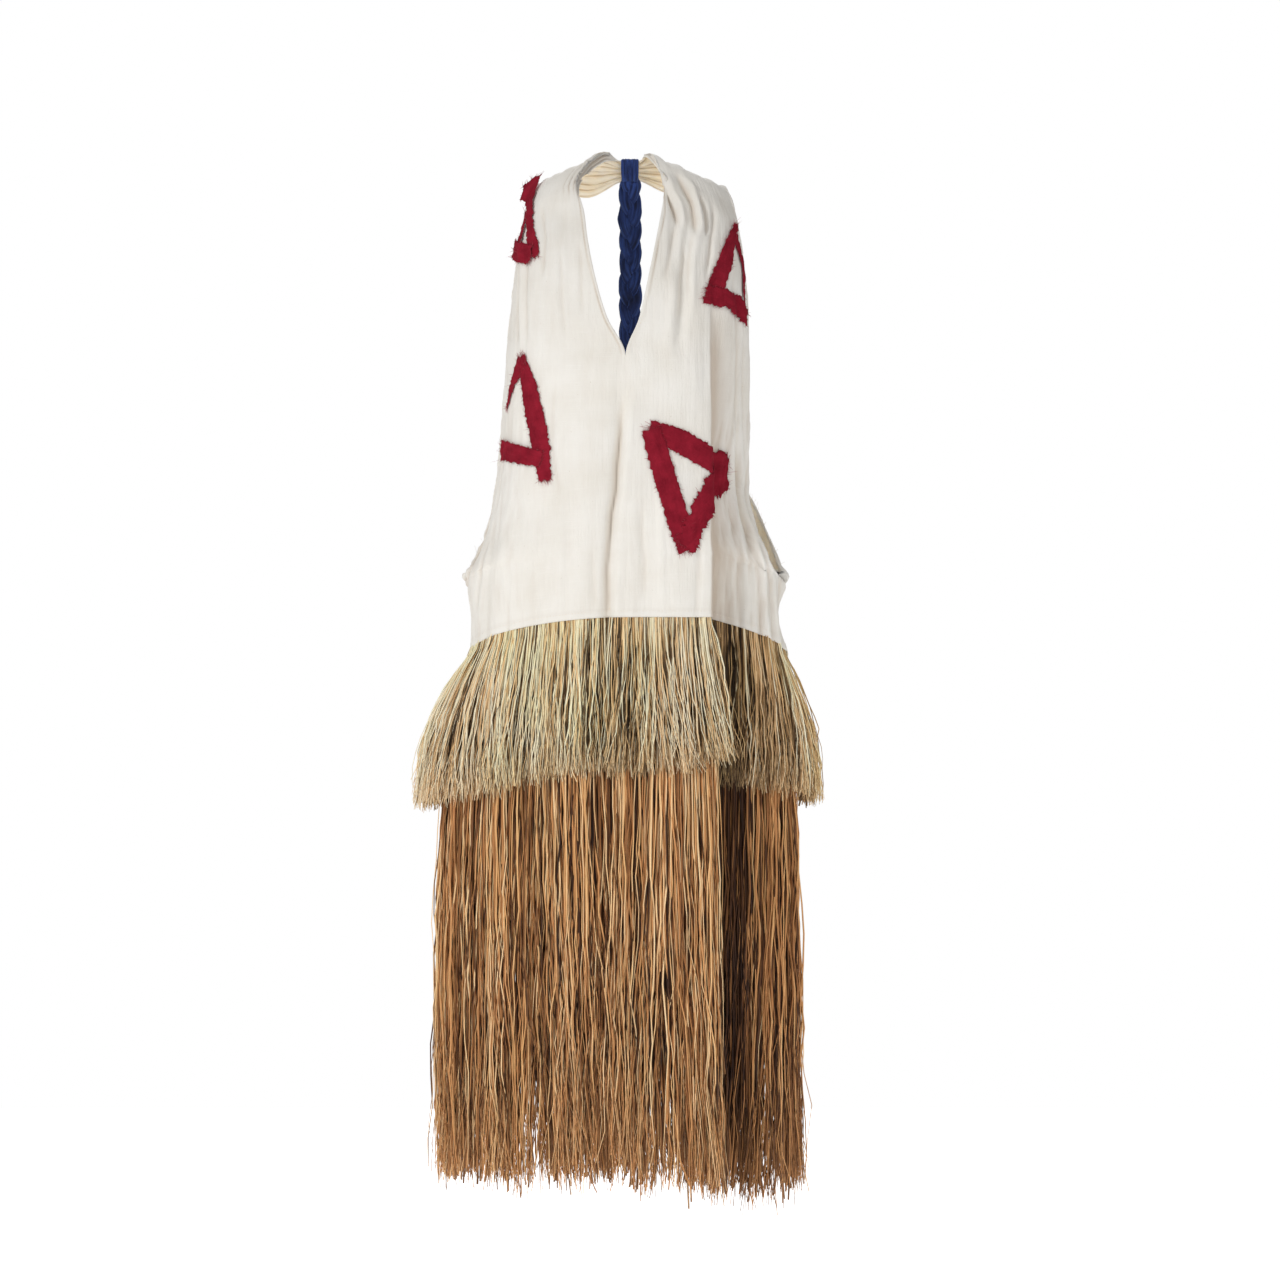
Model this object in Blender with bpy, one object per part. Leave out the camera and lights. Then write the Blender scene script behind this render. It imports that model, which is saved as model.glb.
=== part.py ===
# A cotton and raffia dress, worn on a general figure that isn't there.
# One cotton front is cut in one with its two shoulder straps, which are gathered at the back of
# the neck into a blue loop. A blue braid hangs from the loop and carries the cotton back.
# Two tiers of raffia fringe hang from strips inside the hem. Torn red strips lie on the front.
# Axes: X to the viewer's right, -Y towards the viewer, Z up. The zero point is at the back of
# the neck, in the gathered straps. Sizes are in millimetres and turned into metres at the end.

import math
import random

import bpy
import numpy as np
from mathutils import Vector
from mathutils.bvhtree import BVHTree

MILLIMETRE = 0.001

# Walls and the gaps between pieces
CLOTH_WALL = 1.6
PATCH_WALL = 0.8
PATCH_GAP = 0.45
PATCH_SPARE = 1.25
PATCH_REACH = 9.0

# How finely curves are measured, and the small steps that find which way a surface faces
OUTLINE_SAMPLES = 721
KNOT_SAMPLES = 11
SHARE_SAMPLES = 241
HEIGHT_SAMPLES = 160
FRONT_PROBE = 0.8
FOLD_PROBE = 2.0
BACK_PROBE = 0.004
SHARP_ANGLE = 50.0

# The straps, from the gathered centre back over each shoulder to the collar. Every row is one
# cut across the strap, from the neck edge to the armhole edge, and the mesh rows to the next.
STRAP_COLUMNS = ("cut", "neck", "inner", "outer", "edge", "steps")
LEFT_STRAP = (
    ("centre back", (2, 0, 17), (2, 0, 7), (2, 0, -4), (2, 0, -14), 1),
    ("loop mouth", (-15, -3, 21), (-16, 3, 9), (-16, 5, -4), (-15, 5, -17), 3),
    ("behind neck", (-24, -16, 28), (-38, 4, 12), (-50, 15, -8), (-57, 18, -34), 2),
    ("shoulder top", (-38, -36, 25), (-66, -30, 9), (-96, -24, -6), (-119, -16, -26), 2),
    ("shoulder front", (-58, -66, 7), (-82, -70, -3), (-108, -66, -16), (-128, -44, -34), 2),
    ("collar", (-67, -100, -24), (-90, -99, -30), (-117, -88, -40), (-135, -62, -54), 1),
)
RIGHT_STRAP = (
    ("centre back", (2, 0, 17), (2, 0, 7), (2, 0, -4), (2, 0, -14), 1),
    ("loop mouth", (19, -3, 19), (20, 3, 8), (20, 5, -3), (19, 5, -14), 3),
    ("behind neck", (24, -16, 25), (38, 4, 11), (50, 15, -6), (58, 18, -28), 2),
    ("shoulder top", (29, -36, 22), (58, -30, 10), (92, -24, -8), (124, -16, -28), 2),
    ("shoulder front", (37, -64, 4), (70, -70, -4), (106, -66, -18), (136, -44, -38), 2),
    ("collar", (44, -95, -26), (78, -98, -30), (113, -88, -40), (143, -62, -58), 1),
)

# The front below the collar. Each level is half of a rounded oblong seen from above. The V
# opening cuts it at neck_left and neck_right, and its side edges end at side_y.
BODY_COLUMNS = (
    "level", "z_front", "z_side", "neck_left", "neck_right",
    "half_left", "half_right", "front_y", "side_y", "square", "steps",
)
BODY = (
    ("upper chest", -66, -86, -59, 45, 142, 149, -133, -74, 2.2, 1),
    ("chest", -104, -118, -54, 38, 148, 154, -158, -80, 2.3, 1),
    ("mid opening", -160, -170, -43, 27, 155, 160, -183, -84, 2.4, 2),
    ("low opening", -212, -217, -28, 14, 160, 162, -195, -85, 2.5, 1),
    ("opening tip", -260, -262, -3, -3, 164, 162, -201, -85, 2.6, 2),
    ("waist", -335, -345, -3, -3, 170, 162, -204, -85, 2.6, 1),
    ("below waist", -415, -436, -3, -3, 178, 164, -206, -82, 2.6, 1),
    ("armhole low", -475, -510, -3, -3, 193, 186, -207, -80, 2.6, 1),
    ("armhole turn", -503, -548, -3, -3, 208, 204, -207, -79, 2.6, 1),
    ("armhole bottom", -520, -566, -3, -3, 215, 212, -207, -70, 2.6, 1),
    ("seam top", -530, -572, -3, -3, 217, 215, -207, -58, 2.6, 3),
    ("hem", -612, -663, -3, -3, 214, 217, -205, -58, 2.6, 0),
)
MIDDLE_X = -3.0
HEM_DROP_POWER = 1.6
HALF_COLUMNS = 27
COLUMNS_BEFORE_FOLD = 8

# The deep fold at the viewer's right: how far round it starts, its bend and its depth by height.
# The sample column is the one nearest to it. Mesh columns crowd at its two bends.
FOLD_AT = 115.0
FOLD_RADIUS = 6.5
FOLD_SAMPLE = 96
FOLD_LEAST_BEND = 4.5
FOLD_LEAST_FLAT = 1.5
FOLD_LEAD = 4.0
FOLD_BEND_PARTS = (0.0, 0.33, 0.67, 1.0)
FOLD_BLEND = 90.0
FOLD_DEPTHS = ((-700, 52), (-560, 46), (-430, 34), (-290, 15), (-200, 3), (-120, 0))

# Soft folds of the front. Girth is measured round from the middle, less than zero on the left.
SOFT_FOLD_COLUMNS = ("girth_top", "z_top", "girth_low", "z_low", "width", "height")
SOFT_FOLDS = (
    (-2, -262, -26, -640, 11, -3.4),
    (18, -300, -2, -650, 15, 2.0),
    (-44, -330, -66, -650, 16, 1.6),
    (60, -360, 66, -650, 18, 1.4),
    (-110, -420, -118, -660, 15, -1.8),
    (-192, -470, -215, -660, 12, -2.6),
    (-242, -520, -262, -680, 10, 2.0),
    (66, -22, 68, -150, 8, -3.6),
    (88, -34, 74, -230, 8, -3.4),
    (77, -60, 60, -240, 9, 2.2),
    (120, -110, 112, -300, 12, -1.8),
    (186, -150, 230, -600, 9, -3.0),
    (206, -190, 262, -620, 9, 2.6),
    (-80, -50, -72, -190, 14, -1.6),
)
SOFT_FOLD_FADE = 4.0
GATHERS = 5.0
GATHER_HEIGHT = 1.5
GATHER_SWELL = 0.9
HEM_CALM = 0.45

# The back: its top edge from the gathered middle to the seams, as share of the half width,
# x, y and z
BACK_TOP = (
    (0.00, 2, 41, -300),
    (0.12, 24, 42, -304),
    (0.30, 62, 43, -336),
    (0.48, 110, 34, -384),
    (0.64, 160, 8, -434),
    (0.78, 190, -18, -494),
    (0.88, 205, -34, -536),
    (0.95, 212, -46, -561),
    (1.00, 215, -57.2, -572),
)
BACK_LEFT_WIDER = 219.0 / 213.0
BACK_HEM = {"half_left": 214, "half_right": 217, "y": 82.0, "z": -668.0, "square": 2.3}
BACK_SEAT = 9.0
BACK_HALF_COLUMNS = 17
BACK_ROWS = 8
BACK_CROWDING = 0.6
BACK_GATHERS = 4.0
BACK_GATHER_HEIGHT = 2.0
BACK_GATHER_FADE = {"down": 1.7, "start": 0.35, "across": 3.0}
BACK_FOLD_COLUMNS = ("share", "height")
BACK_FOLDS = ((-0.62, 2.4), (-0.30, -2.2), (0.08, 2.4), (0.36, -2.4), (0.66, 2.2))
BACK_FOLD_WIDTH = 0.11
BACK_FOLD_FADE = 1.6

# Rolled armhole edges, flattened
ROLL_HALF_WIDTH = 3.6
ROLL_HALF_THICK = 1.9
ROLL_SIDES = 6
ROLL_GAP = 0.45
ROLL_BACK_SHARES = (0.04, 0.995)

# Blue loop and braid
BRAID_X = 2.5
WRAP_WALL = 2.4
WRAP_CORNER = 6.0
LOOP_BOX = {"half_width": 14.0, "back": 8.5, "front": -8.5, "top": 22.0, "low": -19.5}
STRAND_SWING = 10.0
STRAND_WEAVE = 4.6
STRAND_HALF_WIDTH = 4.9
STRAND_HALF_THICK = 2.8
STRAND_SIDES = 6
STRAND_RINGS = 54
BRAID_PERIOD = 78.0
BRAID_TOP_Z = -22.5
BRAID_LOW_Z = -326.0
# Height and depth of the braid's middle line
BRAID_PATH = ((-340, 60.7), (-290, 56.2), (-200, 45), (-120, 30), (-60, 13), (-20, 3))
END_WRAP = {"z": -312.0, "half_height": 7.0, "half_width": 17.6, "half_deep": 8.6}

# Raffia tiers: lock lengths, how far they stand out round the hem, and their strips
TIER_COLUMNS = (
    "tier", "long_front", "long_side", "long_back", "out_left", "out_front", "out_right",
    "out_back", "bend", "thick", "inset", "ragged", "spread", "stations",
)
TIERS = (
    ("upper", 196, 192, 190, 78, 33, 50, 40, 1.9, 3.4, 0.0, 6, 30, (0.0, 0.28, 1.0)),
    ("lower", 760, 700, 712, 50, 22, 22, 30, 5.0, 4.2, 1.6, 14, 9, (0.0, 0.2, 1.0)),
)
STRIP_WALL = 1.2
STRIP_GAP = 1.1
STRIP_LAP = 16.0
STRIP_DROP = 2.0
LOCK_SHARE = 0.64
LAST_CELL_TRIM = 0.04
TIP_WIDTH = 0.24
TIP_THICK = 0.25
ZONE_MARGIN = 1.0
FOLD_MARGIN = 5.0
RECESS_CALM = 0.75
RECESS_SHARE = 0.5
RECESS_STILL = 4.0
SPREAD_START = 10.0
SPREAD_RUN = 110.0
SPREAD_FACING = -0.8
SEGMENT_COLUMNS = ("name", "zone", "start", "end", "upper", "lower")
SEGMENTS = (
    ("left_side", "front", 0.000, 0.250, 8, 8),
    ("left_front", "front", 0.250, 0.500, 8, 8),
    ("middle_front", "front", 0.500, 0.750, 8, 8),
    ("right_front", "front", 0.750, 1.000, 8, 8),
    ("fold_front", "recess", 0.000, 0.480, 6, 7),
    ("right_side", "recess", 0.480, 1.000, 7, 7),
    ("right_back", "back", 0.000, 0.250, 9, 9),
    ("middle_right_back", "back", 0.250, 0.500, 9, 9),
    ("middle_left_back", "back", 0.500, 0.750, 9, 9),
    ("left_back", "back", 0.750, 1.000, 9, 9),
)

# Torn red strips, by their middle lines' ends on the spread-out front. stand_a and stand_b say
# how much further than it must each end stands off the cloth, or how much less where a minus
# takes up the spare lift. A strip that crosses the deep fold has upright slices.
PATCH_COLUMNS = (
    "patch", "layer", "girth_a", "z_a", "girth_b", "z_b", "width_a", "width_b",
    "stand_a", "stand_b", "steps", "upright",
)
PATCH_STRIPS = (
    ("left_chest", 1, -183, -330, -143, -256, 9, 14, 0, 0, 9, False),
    ("left_chest", 2, -138, -250, -104, -420, 22, 18, 0, 0, 9, False),
    ("left_chest", 3, -190, -374, -104, -404, 26, 20, 0, 0, 9, False),
    ("right_chest", 1, 28, -346, 130, -397, 24, 26, 0, 0, 30, True),
    ("right_chest", 2, 32, -346, 84, -524, 22, 26, 0, 0, 9, False),
    ("right_chest", 3, 188, -402, 82, -514, 30, 22, 0, 0, 38, True),
    ("right_shoulder", 1, 154, -86, 120, -190, 9, 20, 3, 0, 8, False),
    ("right_shoulder", 2, 160, -98, 184, -196, 8, 8, 0, 0, 7, False),
    ("right_shoulder", 3, 110, -182, 186, -206, 20, 16, 0, 0, 7, False),
    ("left_shoulder", 1, -134, -52, -130, -124, 11, 16, 6, 0, 8, False),
    ("left_shoulder", 2, -139, -64, -162, -106, 6, 8, -1.2, 3.6, 7, False),
    ("left_shoulder", 3, -126, -112, -172, -102, 22, 24, 0.3, 14, 6, False),
)
PATCH_FINE = 7


def named_rows(columns, rows):
    return [dict(zip(columns, row)) for row in rows]


def smooth(value):
    t = np.clip(value, 0.0, 1.0)
    return t * t * (3.0 - 2.0 * t)


def unit(vectors):
    length = np.linalg.norm(vectors, axis=-1, keepdims=True)
    return vectors / np.maximum(length, 1e-9)


def spline(knots, values, at):
    # A smooth curve through the values that never swings past them. Its slopes come from the
    # neighbours on either side, and are nothing where the values turn back.
    slopes = np.gradient(values, knots, axis=0)
    gaps = np.diff(knots).reshape((-1,) + (1,) * (values.ndim - 1))
    secants = np.diff(values, axis=0) / gaps
    limit = 3.0 * np.minimum(np.abs(secants[:-1]), np.abs(secants[1:]))
    same_way = secants[:-1] * secants[1:] > 0.0
    slopes[1:-1] = np.where(same_way, np.clip(slopes[1:-1], -limit, limit), 0.0)
    index = np.clip(np.searchsorted(knots, at, side="right") - 1, 0, len(knots) - 2)
    if values.ndim == 3:
        pick = (index, np.arange(len(at)))
        above = (index + 1, np.arange(len(at)))
    else:
        pick, above = index, index + 1
    span = (knots[index + 1] - knots[index])[:, None]
    t = (at - knots[index])[:, None] / span
    return (
        (2 * t ** 3 - 3 * t ** 2 + 1) * values[pick]
        + (t ** 3 - 2 * t ** 2 + t) * slopes[pick] * span
        + (3 * t ** 2 - 2 * t ** 3) * values[above]
        + (t ** 3 - t ** 2) * slopes[above] * span
    )


def quarter_oblong(half, depth, square):
    # A quarter of a rounded oblong, from its middle to its side
    angle = np.linspace(0.0, math.pi / 2, OUTLINE_SAMPLES)
    across = half * np.sin(angle) ** (2.0 / square)
    forward = depth * np.cos(angle) ** (2.0 / square)
    return across, forward


def strap_section(row, shares):
    points = np.array([row["neck"], row["inner"], row["outer"], row["edge"]], float)
    return spline(np.array([0.0, 1.0, 2.0, 3.0]) / 3.0, points, shares)


def body_section(row, side, shares):
    sign = -1.0 if side == "left" else 1.0
    neck = row["neck_" + side] * sign
    across, forward = quarter_oblong(
        row["half_" + side], row["side_y"] - row["front_y"], row["square"]
    )
    keep = across > neck
    first_forward = np.interp(neck, across, forward)
    across = np.concatenate([[neck], across[keep]])
    forward = np.concatenate([[first_forward], forward[keep]])
    run = np.concatenate([[0.0], np.cumsum(np.hypot(np.diff(across), np.diff(forward)))])
    x = np.interp(shares * run[-1], run, across) * sign
    y = row["side_y"] - np.interp(shares * run[-1], run, forward)
    z = row["z_front"] + (row["z_side"] - row["z_front"]) * shares ** HEM_DROP_POWER
    return np.stack([x, y, z], axis=-1)


def front_sections(side, shares):
    straps = named_rows(STRAP_COLUMNS, LEFT_STRAP if side == "left" else RIGHT_STRAP)
    sections = [strap_section(row, shares) for row in straps]
    sections += [body_section(row, side, shares) for row in named_rows(BODY_COLUMNS, BODY)]
    return np.array(sections)


def front_knots():
    # Where each section lies down the front, as the mean distance run from the centre back
    shares = np.linspace(0.0, 1.0, KNOT_SAMPLES)
    both = np.concatenate([front_sections(side, shares) for side in ("left", "right")], axis=1)
    gaps = np.linalg.norm(np.diff(both, axis=0), axis=2).mean(axis=1)
    return np.concatenate([[0.0], np.cumsum(gaps)])


class FrontHalf:
    # One half of the front as a surface. A level runs down it from the centre back to the hem,
    # and a girth runs round it from the middle line, so that the spread-out cloth is a plane.

    def __init__(self, side):
        self.side = side
        self.sign = -1.0 if side == "left" else 1.0
        self.knots = front_knots()
        self.shares = np.linspace(0.0, 1.0, SHARE_SAMPLES)
        self.sections = front_sections(side, self.shares)
        straps = named_rows(STRAP_COLUMNS, LEFT_STRAP)
        body = named_rows(BODY_COLUMNS, BODY)
        self.steps = [row["steps"] for row in straps + body]
        self.lengths = np.linalg.norm(np.diff(self.sections, axis=1), axis=2).sum(axis=1)
        starts = [abs(row["neck_" + side] - MIDDLE_X) for row in body]
        self.starts = np.array([starts[0]] * len(straps) + starts, float)
        self.first_body = len(straps)
        self.shoulder_top = [row["cut"] for row in straps].index("shoulder top")
        levels = [row["level"] for row in body]
        self.tip = self.first_body + levels.index("opening tip")
        self.seam_top = self.first_body + levels.index("seam top")

    def base(self, share, level):
        place = np.clip(share, 0.0, 1.0) * (len(self.shares) - 1)
        low = np.minimum(place.astype(int), len(self.shares) - 2)
        part = (place - low)[None, :, None]
        columns = self.sections[:, low] * (1 - part) + self.sections[:, low + 1] * part
        return spline(self.knots, columns, level)

    def start(self, level):
        return np.interp(level, self.knots, self.starts)

    def length(self, level):
        return np.interp(level, self.knots, self.lengths)

    def fold_path(self, level):
        # The deep fold is two arcs with a straight stretch between them
        if self.side == "left":
            depth = np.zeros(np.shape(level))
        else:
            z = np.interp(level, self.knots, self.sections[:, FOLD_SAMPLE, 2])
            table = np.array(FOLD_DEPTHS, float)
            depth = np.interp(z, table[:, 0], table[:, 1])
            depth = np.where(level > self.knots[self.first_body], depth, 0.0)
        turn = np.arccos(np.clip(1.0 - depth / (2 * FOLD_RADIUS), 0.0, 1.0))
        straight = np.maximum(depth - 2 * FOLD_RADIUS, 0.0)
        taken = 2 * FOLD_RADIUS * np.sin(turn)
        return depth, turn, straight, taken, 2 * FOLD_RADIUS * turn + straight

    def end(self, level):
        taken, path = self.fold_path(level)[3:]
        return self.start(level) + self.length(level) + path - taken

    def folded(self, girth, level):
        depth, turn, straight, taken, path = self.fold_path(level)
        start, length = self.start(level), self.length(level)
        along = girth - FOLD_AT
        past = along > path
        base_girth = np.where(past, girth - path + taken, np.minimum(girth, FOLD_AT))
        if self.side == "left":
            return self.base((girth - start) / length, level)
        points = self.base((base_girth - start) / length, level)
        root = self.base((FOLD_AT - start) / length, level)
        forward = self.base((FOLD_AT + FOLD_PROBE - start) / length, level) - root
        forward[:, 2] = 0.0
        forward = unit(forward)
        inward = np.stack([-forward[:, 1], forward[:, 0], np.zeros(len(forward))], axis=-1)
        first = FOLD_RADIUS * turn
        second = along > first + straight
        arc_run = np.where(second, path - along, np.minimum(along, first))
        angle = np.clip(arc_run / FOLD_RADIUS, 0.0, turn)
        rise = FOLD_RADIUS * (1.0 - np.cos(angle))
        reach = FOLD_RADIUS * np.sin(angle)
        rise = np.where(second, depth - rise, rise + np.clip(along - first, 0.0, straight))
        reach = np.where(second, taken - reach, reach)
        on_path = root + forward * reach[:, None] + inward * rise[:, None]
        rest = np.maximum(start + length - FOLD_AT - taken, 1.0)
        part = np.clip((base_girth - FOLD_AT - taken) / rest, 0.0, 1.0)
        beyond = points + inward * (depth * (0.5 + 0.5 * np.cos(math.pi * part)))[:, None]
        return np.where((along < 0)[:, None], points, np.where(past[:, None], beyond, on_path))

    def soft_height(self, girth, level, z):
        height = np.zeros(len(girth))
        signed = girth * self.sign
        in_front = level > self.knots[self.first_body - 2]
        for fold in named_rows(SOFT_FOLD_COLUMNS, SOFT_FOLDS):
            run = (fold["z_top"] - z) / (fold["z_top"] - fold["z_low"])
            centre = fold["girth_top"] + (fold["girth_low"] - fold["girth_top"]) * run
            bell = np.exp(-((signed - centre) / fold["width"]) ** 2)
            height += fold["height"] * bell * smooth(run * SOFT_FOLD_FADE) * in_front
        seam, hem = self.knots[self.seam_top], self.knots[-1]
        height *= 1.0 - HEM_CALM * smooth((level - seam) / (hem - seam))
        loop, collar = self.knots[1], self.knots[self.first_body - 1]
        run = np.clip((level - loop) / (collar - loop), 0.0, 1.0)
        swell = GATHER_HEIGHT * (1.0 + GATHER_SWELL * np.sin(math.pi * run)) * (1.0 - smooth(run))
        share = (girth - self.start(level)) / (self.end(level) - self.start(level))
        return height + swell * np.cos(2 * math.pi * GATHERS * share)

    def girth_at(self, share, level):
        return self.start(level) + share * (self.end(level) - self.start(level))

    def normals(self, girth, level):
        step = FRONT_PROBE
        start, end = self.start(level), self.end(level)
        share = (girth - start) / (end - start)
        left = self.folded(np.clip(girth - step, start, end), level)
        right = self.folded(np.clip(girth + step, start, end), level)
        above = np.clip(level - step, 0.0, self.knots[-1])
        below = np.clip(level + step, 0.0, self.knots[-1])
        upper = self.folded(self.girth_at(share, above), above)
        lower = self.folded(self.girth_at(share, below), below)
        return unit(np.cross(right - left, lower - upper) * -self.sign)

    def surface(self, girth, level):
        # Points of the outer face and the directions that they face
        girth = np.asarray(girth, float)
        level = np.broadcast_to(np.asarray(level, float), girth.shape)
        points = self.folded(girth, level)
        normals = self.normals(girth, level)
        return points + normals * self.soft_height(girth, level, points[:, 2])[:, None], normals

    def mesh_levels(self):
        levels = []
        for index, count in enumerate(self.steps[:-1]):
            upper, lower = self.knots[index], self.knots[index + 1]
            levels += [upper + (lower - upper) * step / count for step in range(count)]
        return levels + [self.knots[-1]]

    def row_of(self, section):
        return sum(self.steps[:section])

    def mesh_girths(self, level):
        # Even columns in the strap, and columns crowded at the deep fold below it
        start, end = float(self.start(level)), float(self.end(level))
        even = start + np.linspace(0.0, 1.0, HALF_COLUMNS) * (end - start)
        if self.side == "left":
            return even
        turn, straight = self.fold_path(np.array(level))[1:3]
        bend = max(FOLD_RADIUS * float(turn), FOLD_LEAST_BEND)
        flat = max(float(straight), FOLD_LEAST_FLAT)
        marks = list(np.linspace(start, FOLD_AT - FOLD_LEAD, COLUMNS_BEFORE_FOLD))
        marks += [FOLD_AT + bend * part for part in FOLD_BEND_PARTS]
        marks += [FOLD_AT + bend + flat * 0.5]
        marks += [FOLD_AT + bend + flat + bend * part for part in FOLD_BEND_PARTS]
        left_over = HALF_COLUMNS - len(marks)
        marks += list(np.linspace(marks[-1], end, left_over + 1)[1:])
        blend = smooth((level - self.knots[self.first_body]) / FOLD_BLEND)
        return even * (1 - blend) + np.array(marks) * blend


def back_top(share):
    table = np.array(BACK_TOP, float)
    right = spline(table[:, 0], table[:, 1:], np.abs(share))
    middle = table[0, 1]
    wider = np.where(share < 0, -BACK_LEFT_WIDER, 1.0)
    right[:, 0] = middle + (right[:, 0] - middle) * wider
    return right


def back_hem(share):
    left = share < 0
    seam_y = BACK_TOP[-1][2]
    points = []
    for side in ("half_left", "half_right"):
        across, backward = quarter_oblong(
            BACK_HEM[side], BACK_HEM["y"] - seam_y, BACK_HEM["square"]
        )
        run = np.concatenate([[0.0], np.cumsum(np.hypot(np.diff(across), np.diff(backward)))])
        run /= run[-1]
        x = np.interp(np.abs(share), run, across)
        y = seam_y + np.interp(np.abs(share), run, backward)
        points.append((x, y))
    x = np.where(left, -points[0][0], points[1][0])
    y = np.where(left, points[0][1], points[1][1])
    side_z = BODY[-1][2]
    z = BACK_HEM["z"] + (side_z - BACK_HEM["z"]) * np.abs(share) ** HEM_DROP_POWER
    return np.stack([x, y, z], axis=-1)


def back_share(turn):
    # Mesh columns stand closer in the gathered middle than at the sides
    return turn * (1.0 - BACK_CROWDING * (1.0 - np.abs(turn)) ** 2)


def back_base(share, down):
    top, hem = back_top(share), back_hem(share)
    points = top + (hem - top) * down[:, None]
    seat = BACK_SEAT * np.sin(math.pi * down) * (1.0 - np.abs(share) ** 2)
    points[:, 1] += seat
    return points


def back_surface(share, down):
    share = np.asarray(share, float)
    down = np.broadcast_to(np.asarray(down, float), share.shape)
    points = back_base(share, down)
    step = BACK_PROBE
    right = back_base(np.clip(share + step, -1, 1), down)
    left = back_base(np.clip(share - step, -1, 1), down)
    lower = back_base(share, np.clip(down + step, 0, 1))
    upper = back_base(share, np.clip(down - step, 0, 1))
    normals = unit(np.cross(right - left, lower - upper))
    turns = np.linspace(-1.0, 1.0, 401)
    crowded = np.interp(share, back_share(turns), turns)
    fade = BACK_GATHER_FADE
    near_top = 1.0 - smooth(down * fade["down"])
    near_top *= 1.0 - smooth((np.abs(share) - fade["start"]) * fade["across"])
    height = BACK_GATHER_HEIGHT * near_top * np.cos(2 * math.pi * BACK_GATHERS * crowded)
    for fold in named_rows(BACK_FOLD_COLUMNS, BACK_FOLDS):
        bell = np.exp(-((share - fold["share"]) / BACK_FOLD_WIDTH) ** 2)
        height += fold["height"] * bell * smooth(down * BACK_FOLD_FADE)
    return points + normals * height[:, None], normals


def clear_scene():
    for obj in list(bpy.data.objects):
        bpy.data.objects.remove(obj, do_unlink=True)


def make_material(name, colour, roughness):
    material = bpy.data.materials.new(name)
    material.use_nodes = True
    shader = material.node_tree.nodes["Principled BSDF"]
    shader.inputs["Base Color"].default_value = (*colour, 1.0)
    shader.inputs["Roughness"].default_value = roughness
    shader.inputs["Metallic"].default_value = 0.0
    return material


def make_object(name, points, faces, material):
    mesh = bpy.data.meshes.new(name)
    metres = [tuple(float(value) * MILLIMETRE for value in point) for point in points]
    mesh.from_pydata(metres, [], faces)
    mesh.materials.append(material)
    mesh.shade_smooth()
    mesh.set_sharp_from_angle(angle=math.radians(SHARP_ANGLE))
    obj = bpy.data.objects.new(name, mesh)
    bpy.context.scene.collection.objects.link(obj)
    return obj


def give_wall(obj, thickness, direction):
    # The wall grows outwards from the mesh where direction is 1, and inwards where it is -1
    modifier = obj.modifiers.new("wall", "SOLIDIFY")
    modifier.thickness = thickness * MILLIMETRE
    modifier.offset = direction
    modifier.use_rim = True
    # Four-sided faces that aren't flat are split one way, so that what lies on them fits
    splits = obj.modifiers.new("splits", "TRIANGULATE")
    splits.quad_method = "SHORTEST_DIAGONAL"


def tube(name, rings, material):
    # A closed body through rings of equal length, each seen turning left along the way
    count = len(rings[0])
    points = [point for ring in rings for point in ring]
    faces = []
    for step in range(len(rings) - 1):
        for side in range(count):
            after = (side + 1) % count
            low, high = step * count, (step + 1) * count
            faces.append((low + side, low + after, high + after, high + side))
    faces.append(tuple(reversed(range(count))))
    faces.append(tuple(range(len(points) - count, len(points))))
    return make_object(name, points, faces, material)


# Cotton front

def build_front(halves, material):
    points, faces, index = [], [], {}

    def corner(side, row, column):
        if row == 0 or (column == 0 and row >= halves["left"].row_of(halves["left"].tip)):
            side = "both"
        return side, row, column

    for side, half in halves.items():
        for row, level in enumerate(half.mesh_levels()):
            found, _ = half.surface(half.mesh_girths(level), level)
            for column, point in enumerate(found):
                key = corner(side, row, column)
                if key in index:
                    points[index[key]] = (points[index[key]] + point) / 2
                else:
                    index[key] = len(points)
                    points.append(point)
    rows = len(halves["left"].mesh_levels())
    for side in halves:
        for row in range(rows - 1):
            for column in range(HALF_COLUMNS - 1):
                quad = [
                    index[corner(side, row, column)],
                    index[corner(side, row + 1, column)],
                    index[corner(side, row + 1, column + 1)],
                    index[corner(side, row, column + 1)],
                ]
                face = quad if side == "right" else quad[::-1]
                faces.append(tuple(dict.fromkeys(face)))
    front = make_object("front", points, faces, material)
    give_wall(front, CLOTH_WALL, -1.0)
    return front


# Cotton back

def back_shares():
    return back_share(np.linspace(-1.0, 1.0, 2 * BACK_HALF_COLUMNS + 1))


def build_back(material):
    shares = back_shares()
    points = [point for row in range(BACK_ROWS + 1)
              for point in back_surface(shares, row / BACK_ROWS)[0]]
    wide = len(shares)
    faces = []
    for row in range(BACK_ROWS):
        for column in range(wide - 1):
            upper = row * wide + column
            lower = upper + wide
            faces.append((upper + 1, lower + 1, lower, upper))
    back = make_object("back", points, faces, material)
    give_wall(back, CLOTH_WALL, -1.0)


# Rolled armhole edges

def armhole_edge(side, half):
    # Edge points with their facing, from the top of the shoulder down and up again at the back
    levels = half.mesh_levels()[half.row_of(half.shoulder_top):half.row_of(half.seam_top)]
    points, normals = [], []
    for level in levels:
        point, normal = half.surface(np.array([float(half.end(level))]), level)
        points.append(point[0])
        normals.append(normal[0])
    sign = half.sign
    least, most = ROLL_BACK_SHARES
    shares = [share for share in back_shares() * -1.0 if least < share * sign < most]
    shares = sorted(shares, key=abs, reverse=True)
    found, facing = back_surface(np.array(shares), 0.0)
    return np.array(points + list(found)), np.array(normals + list(facing))


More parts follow.
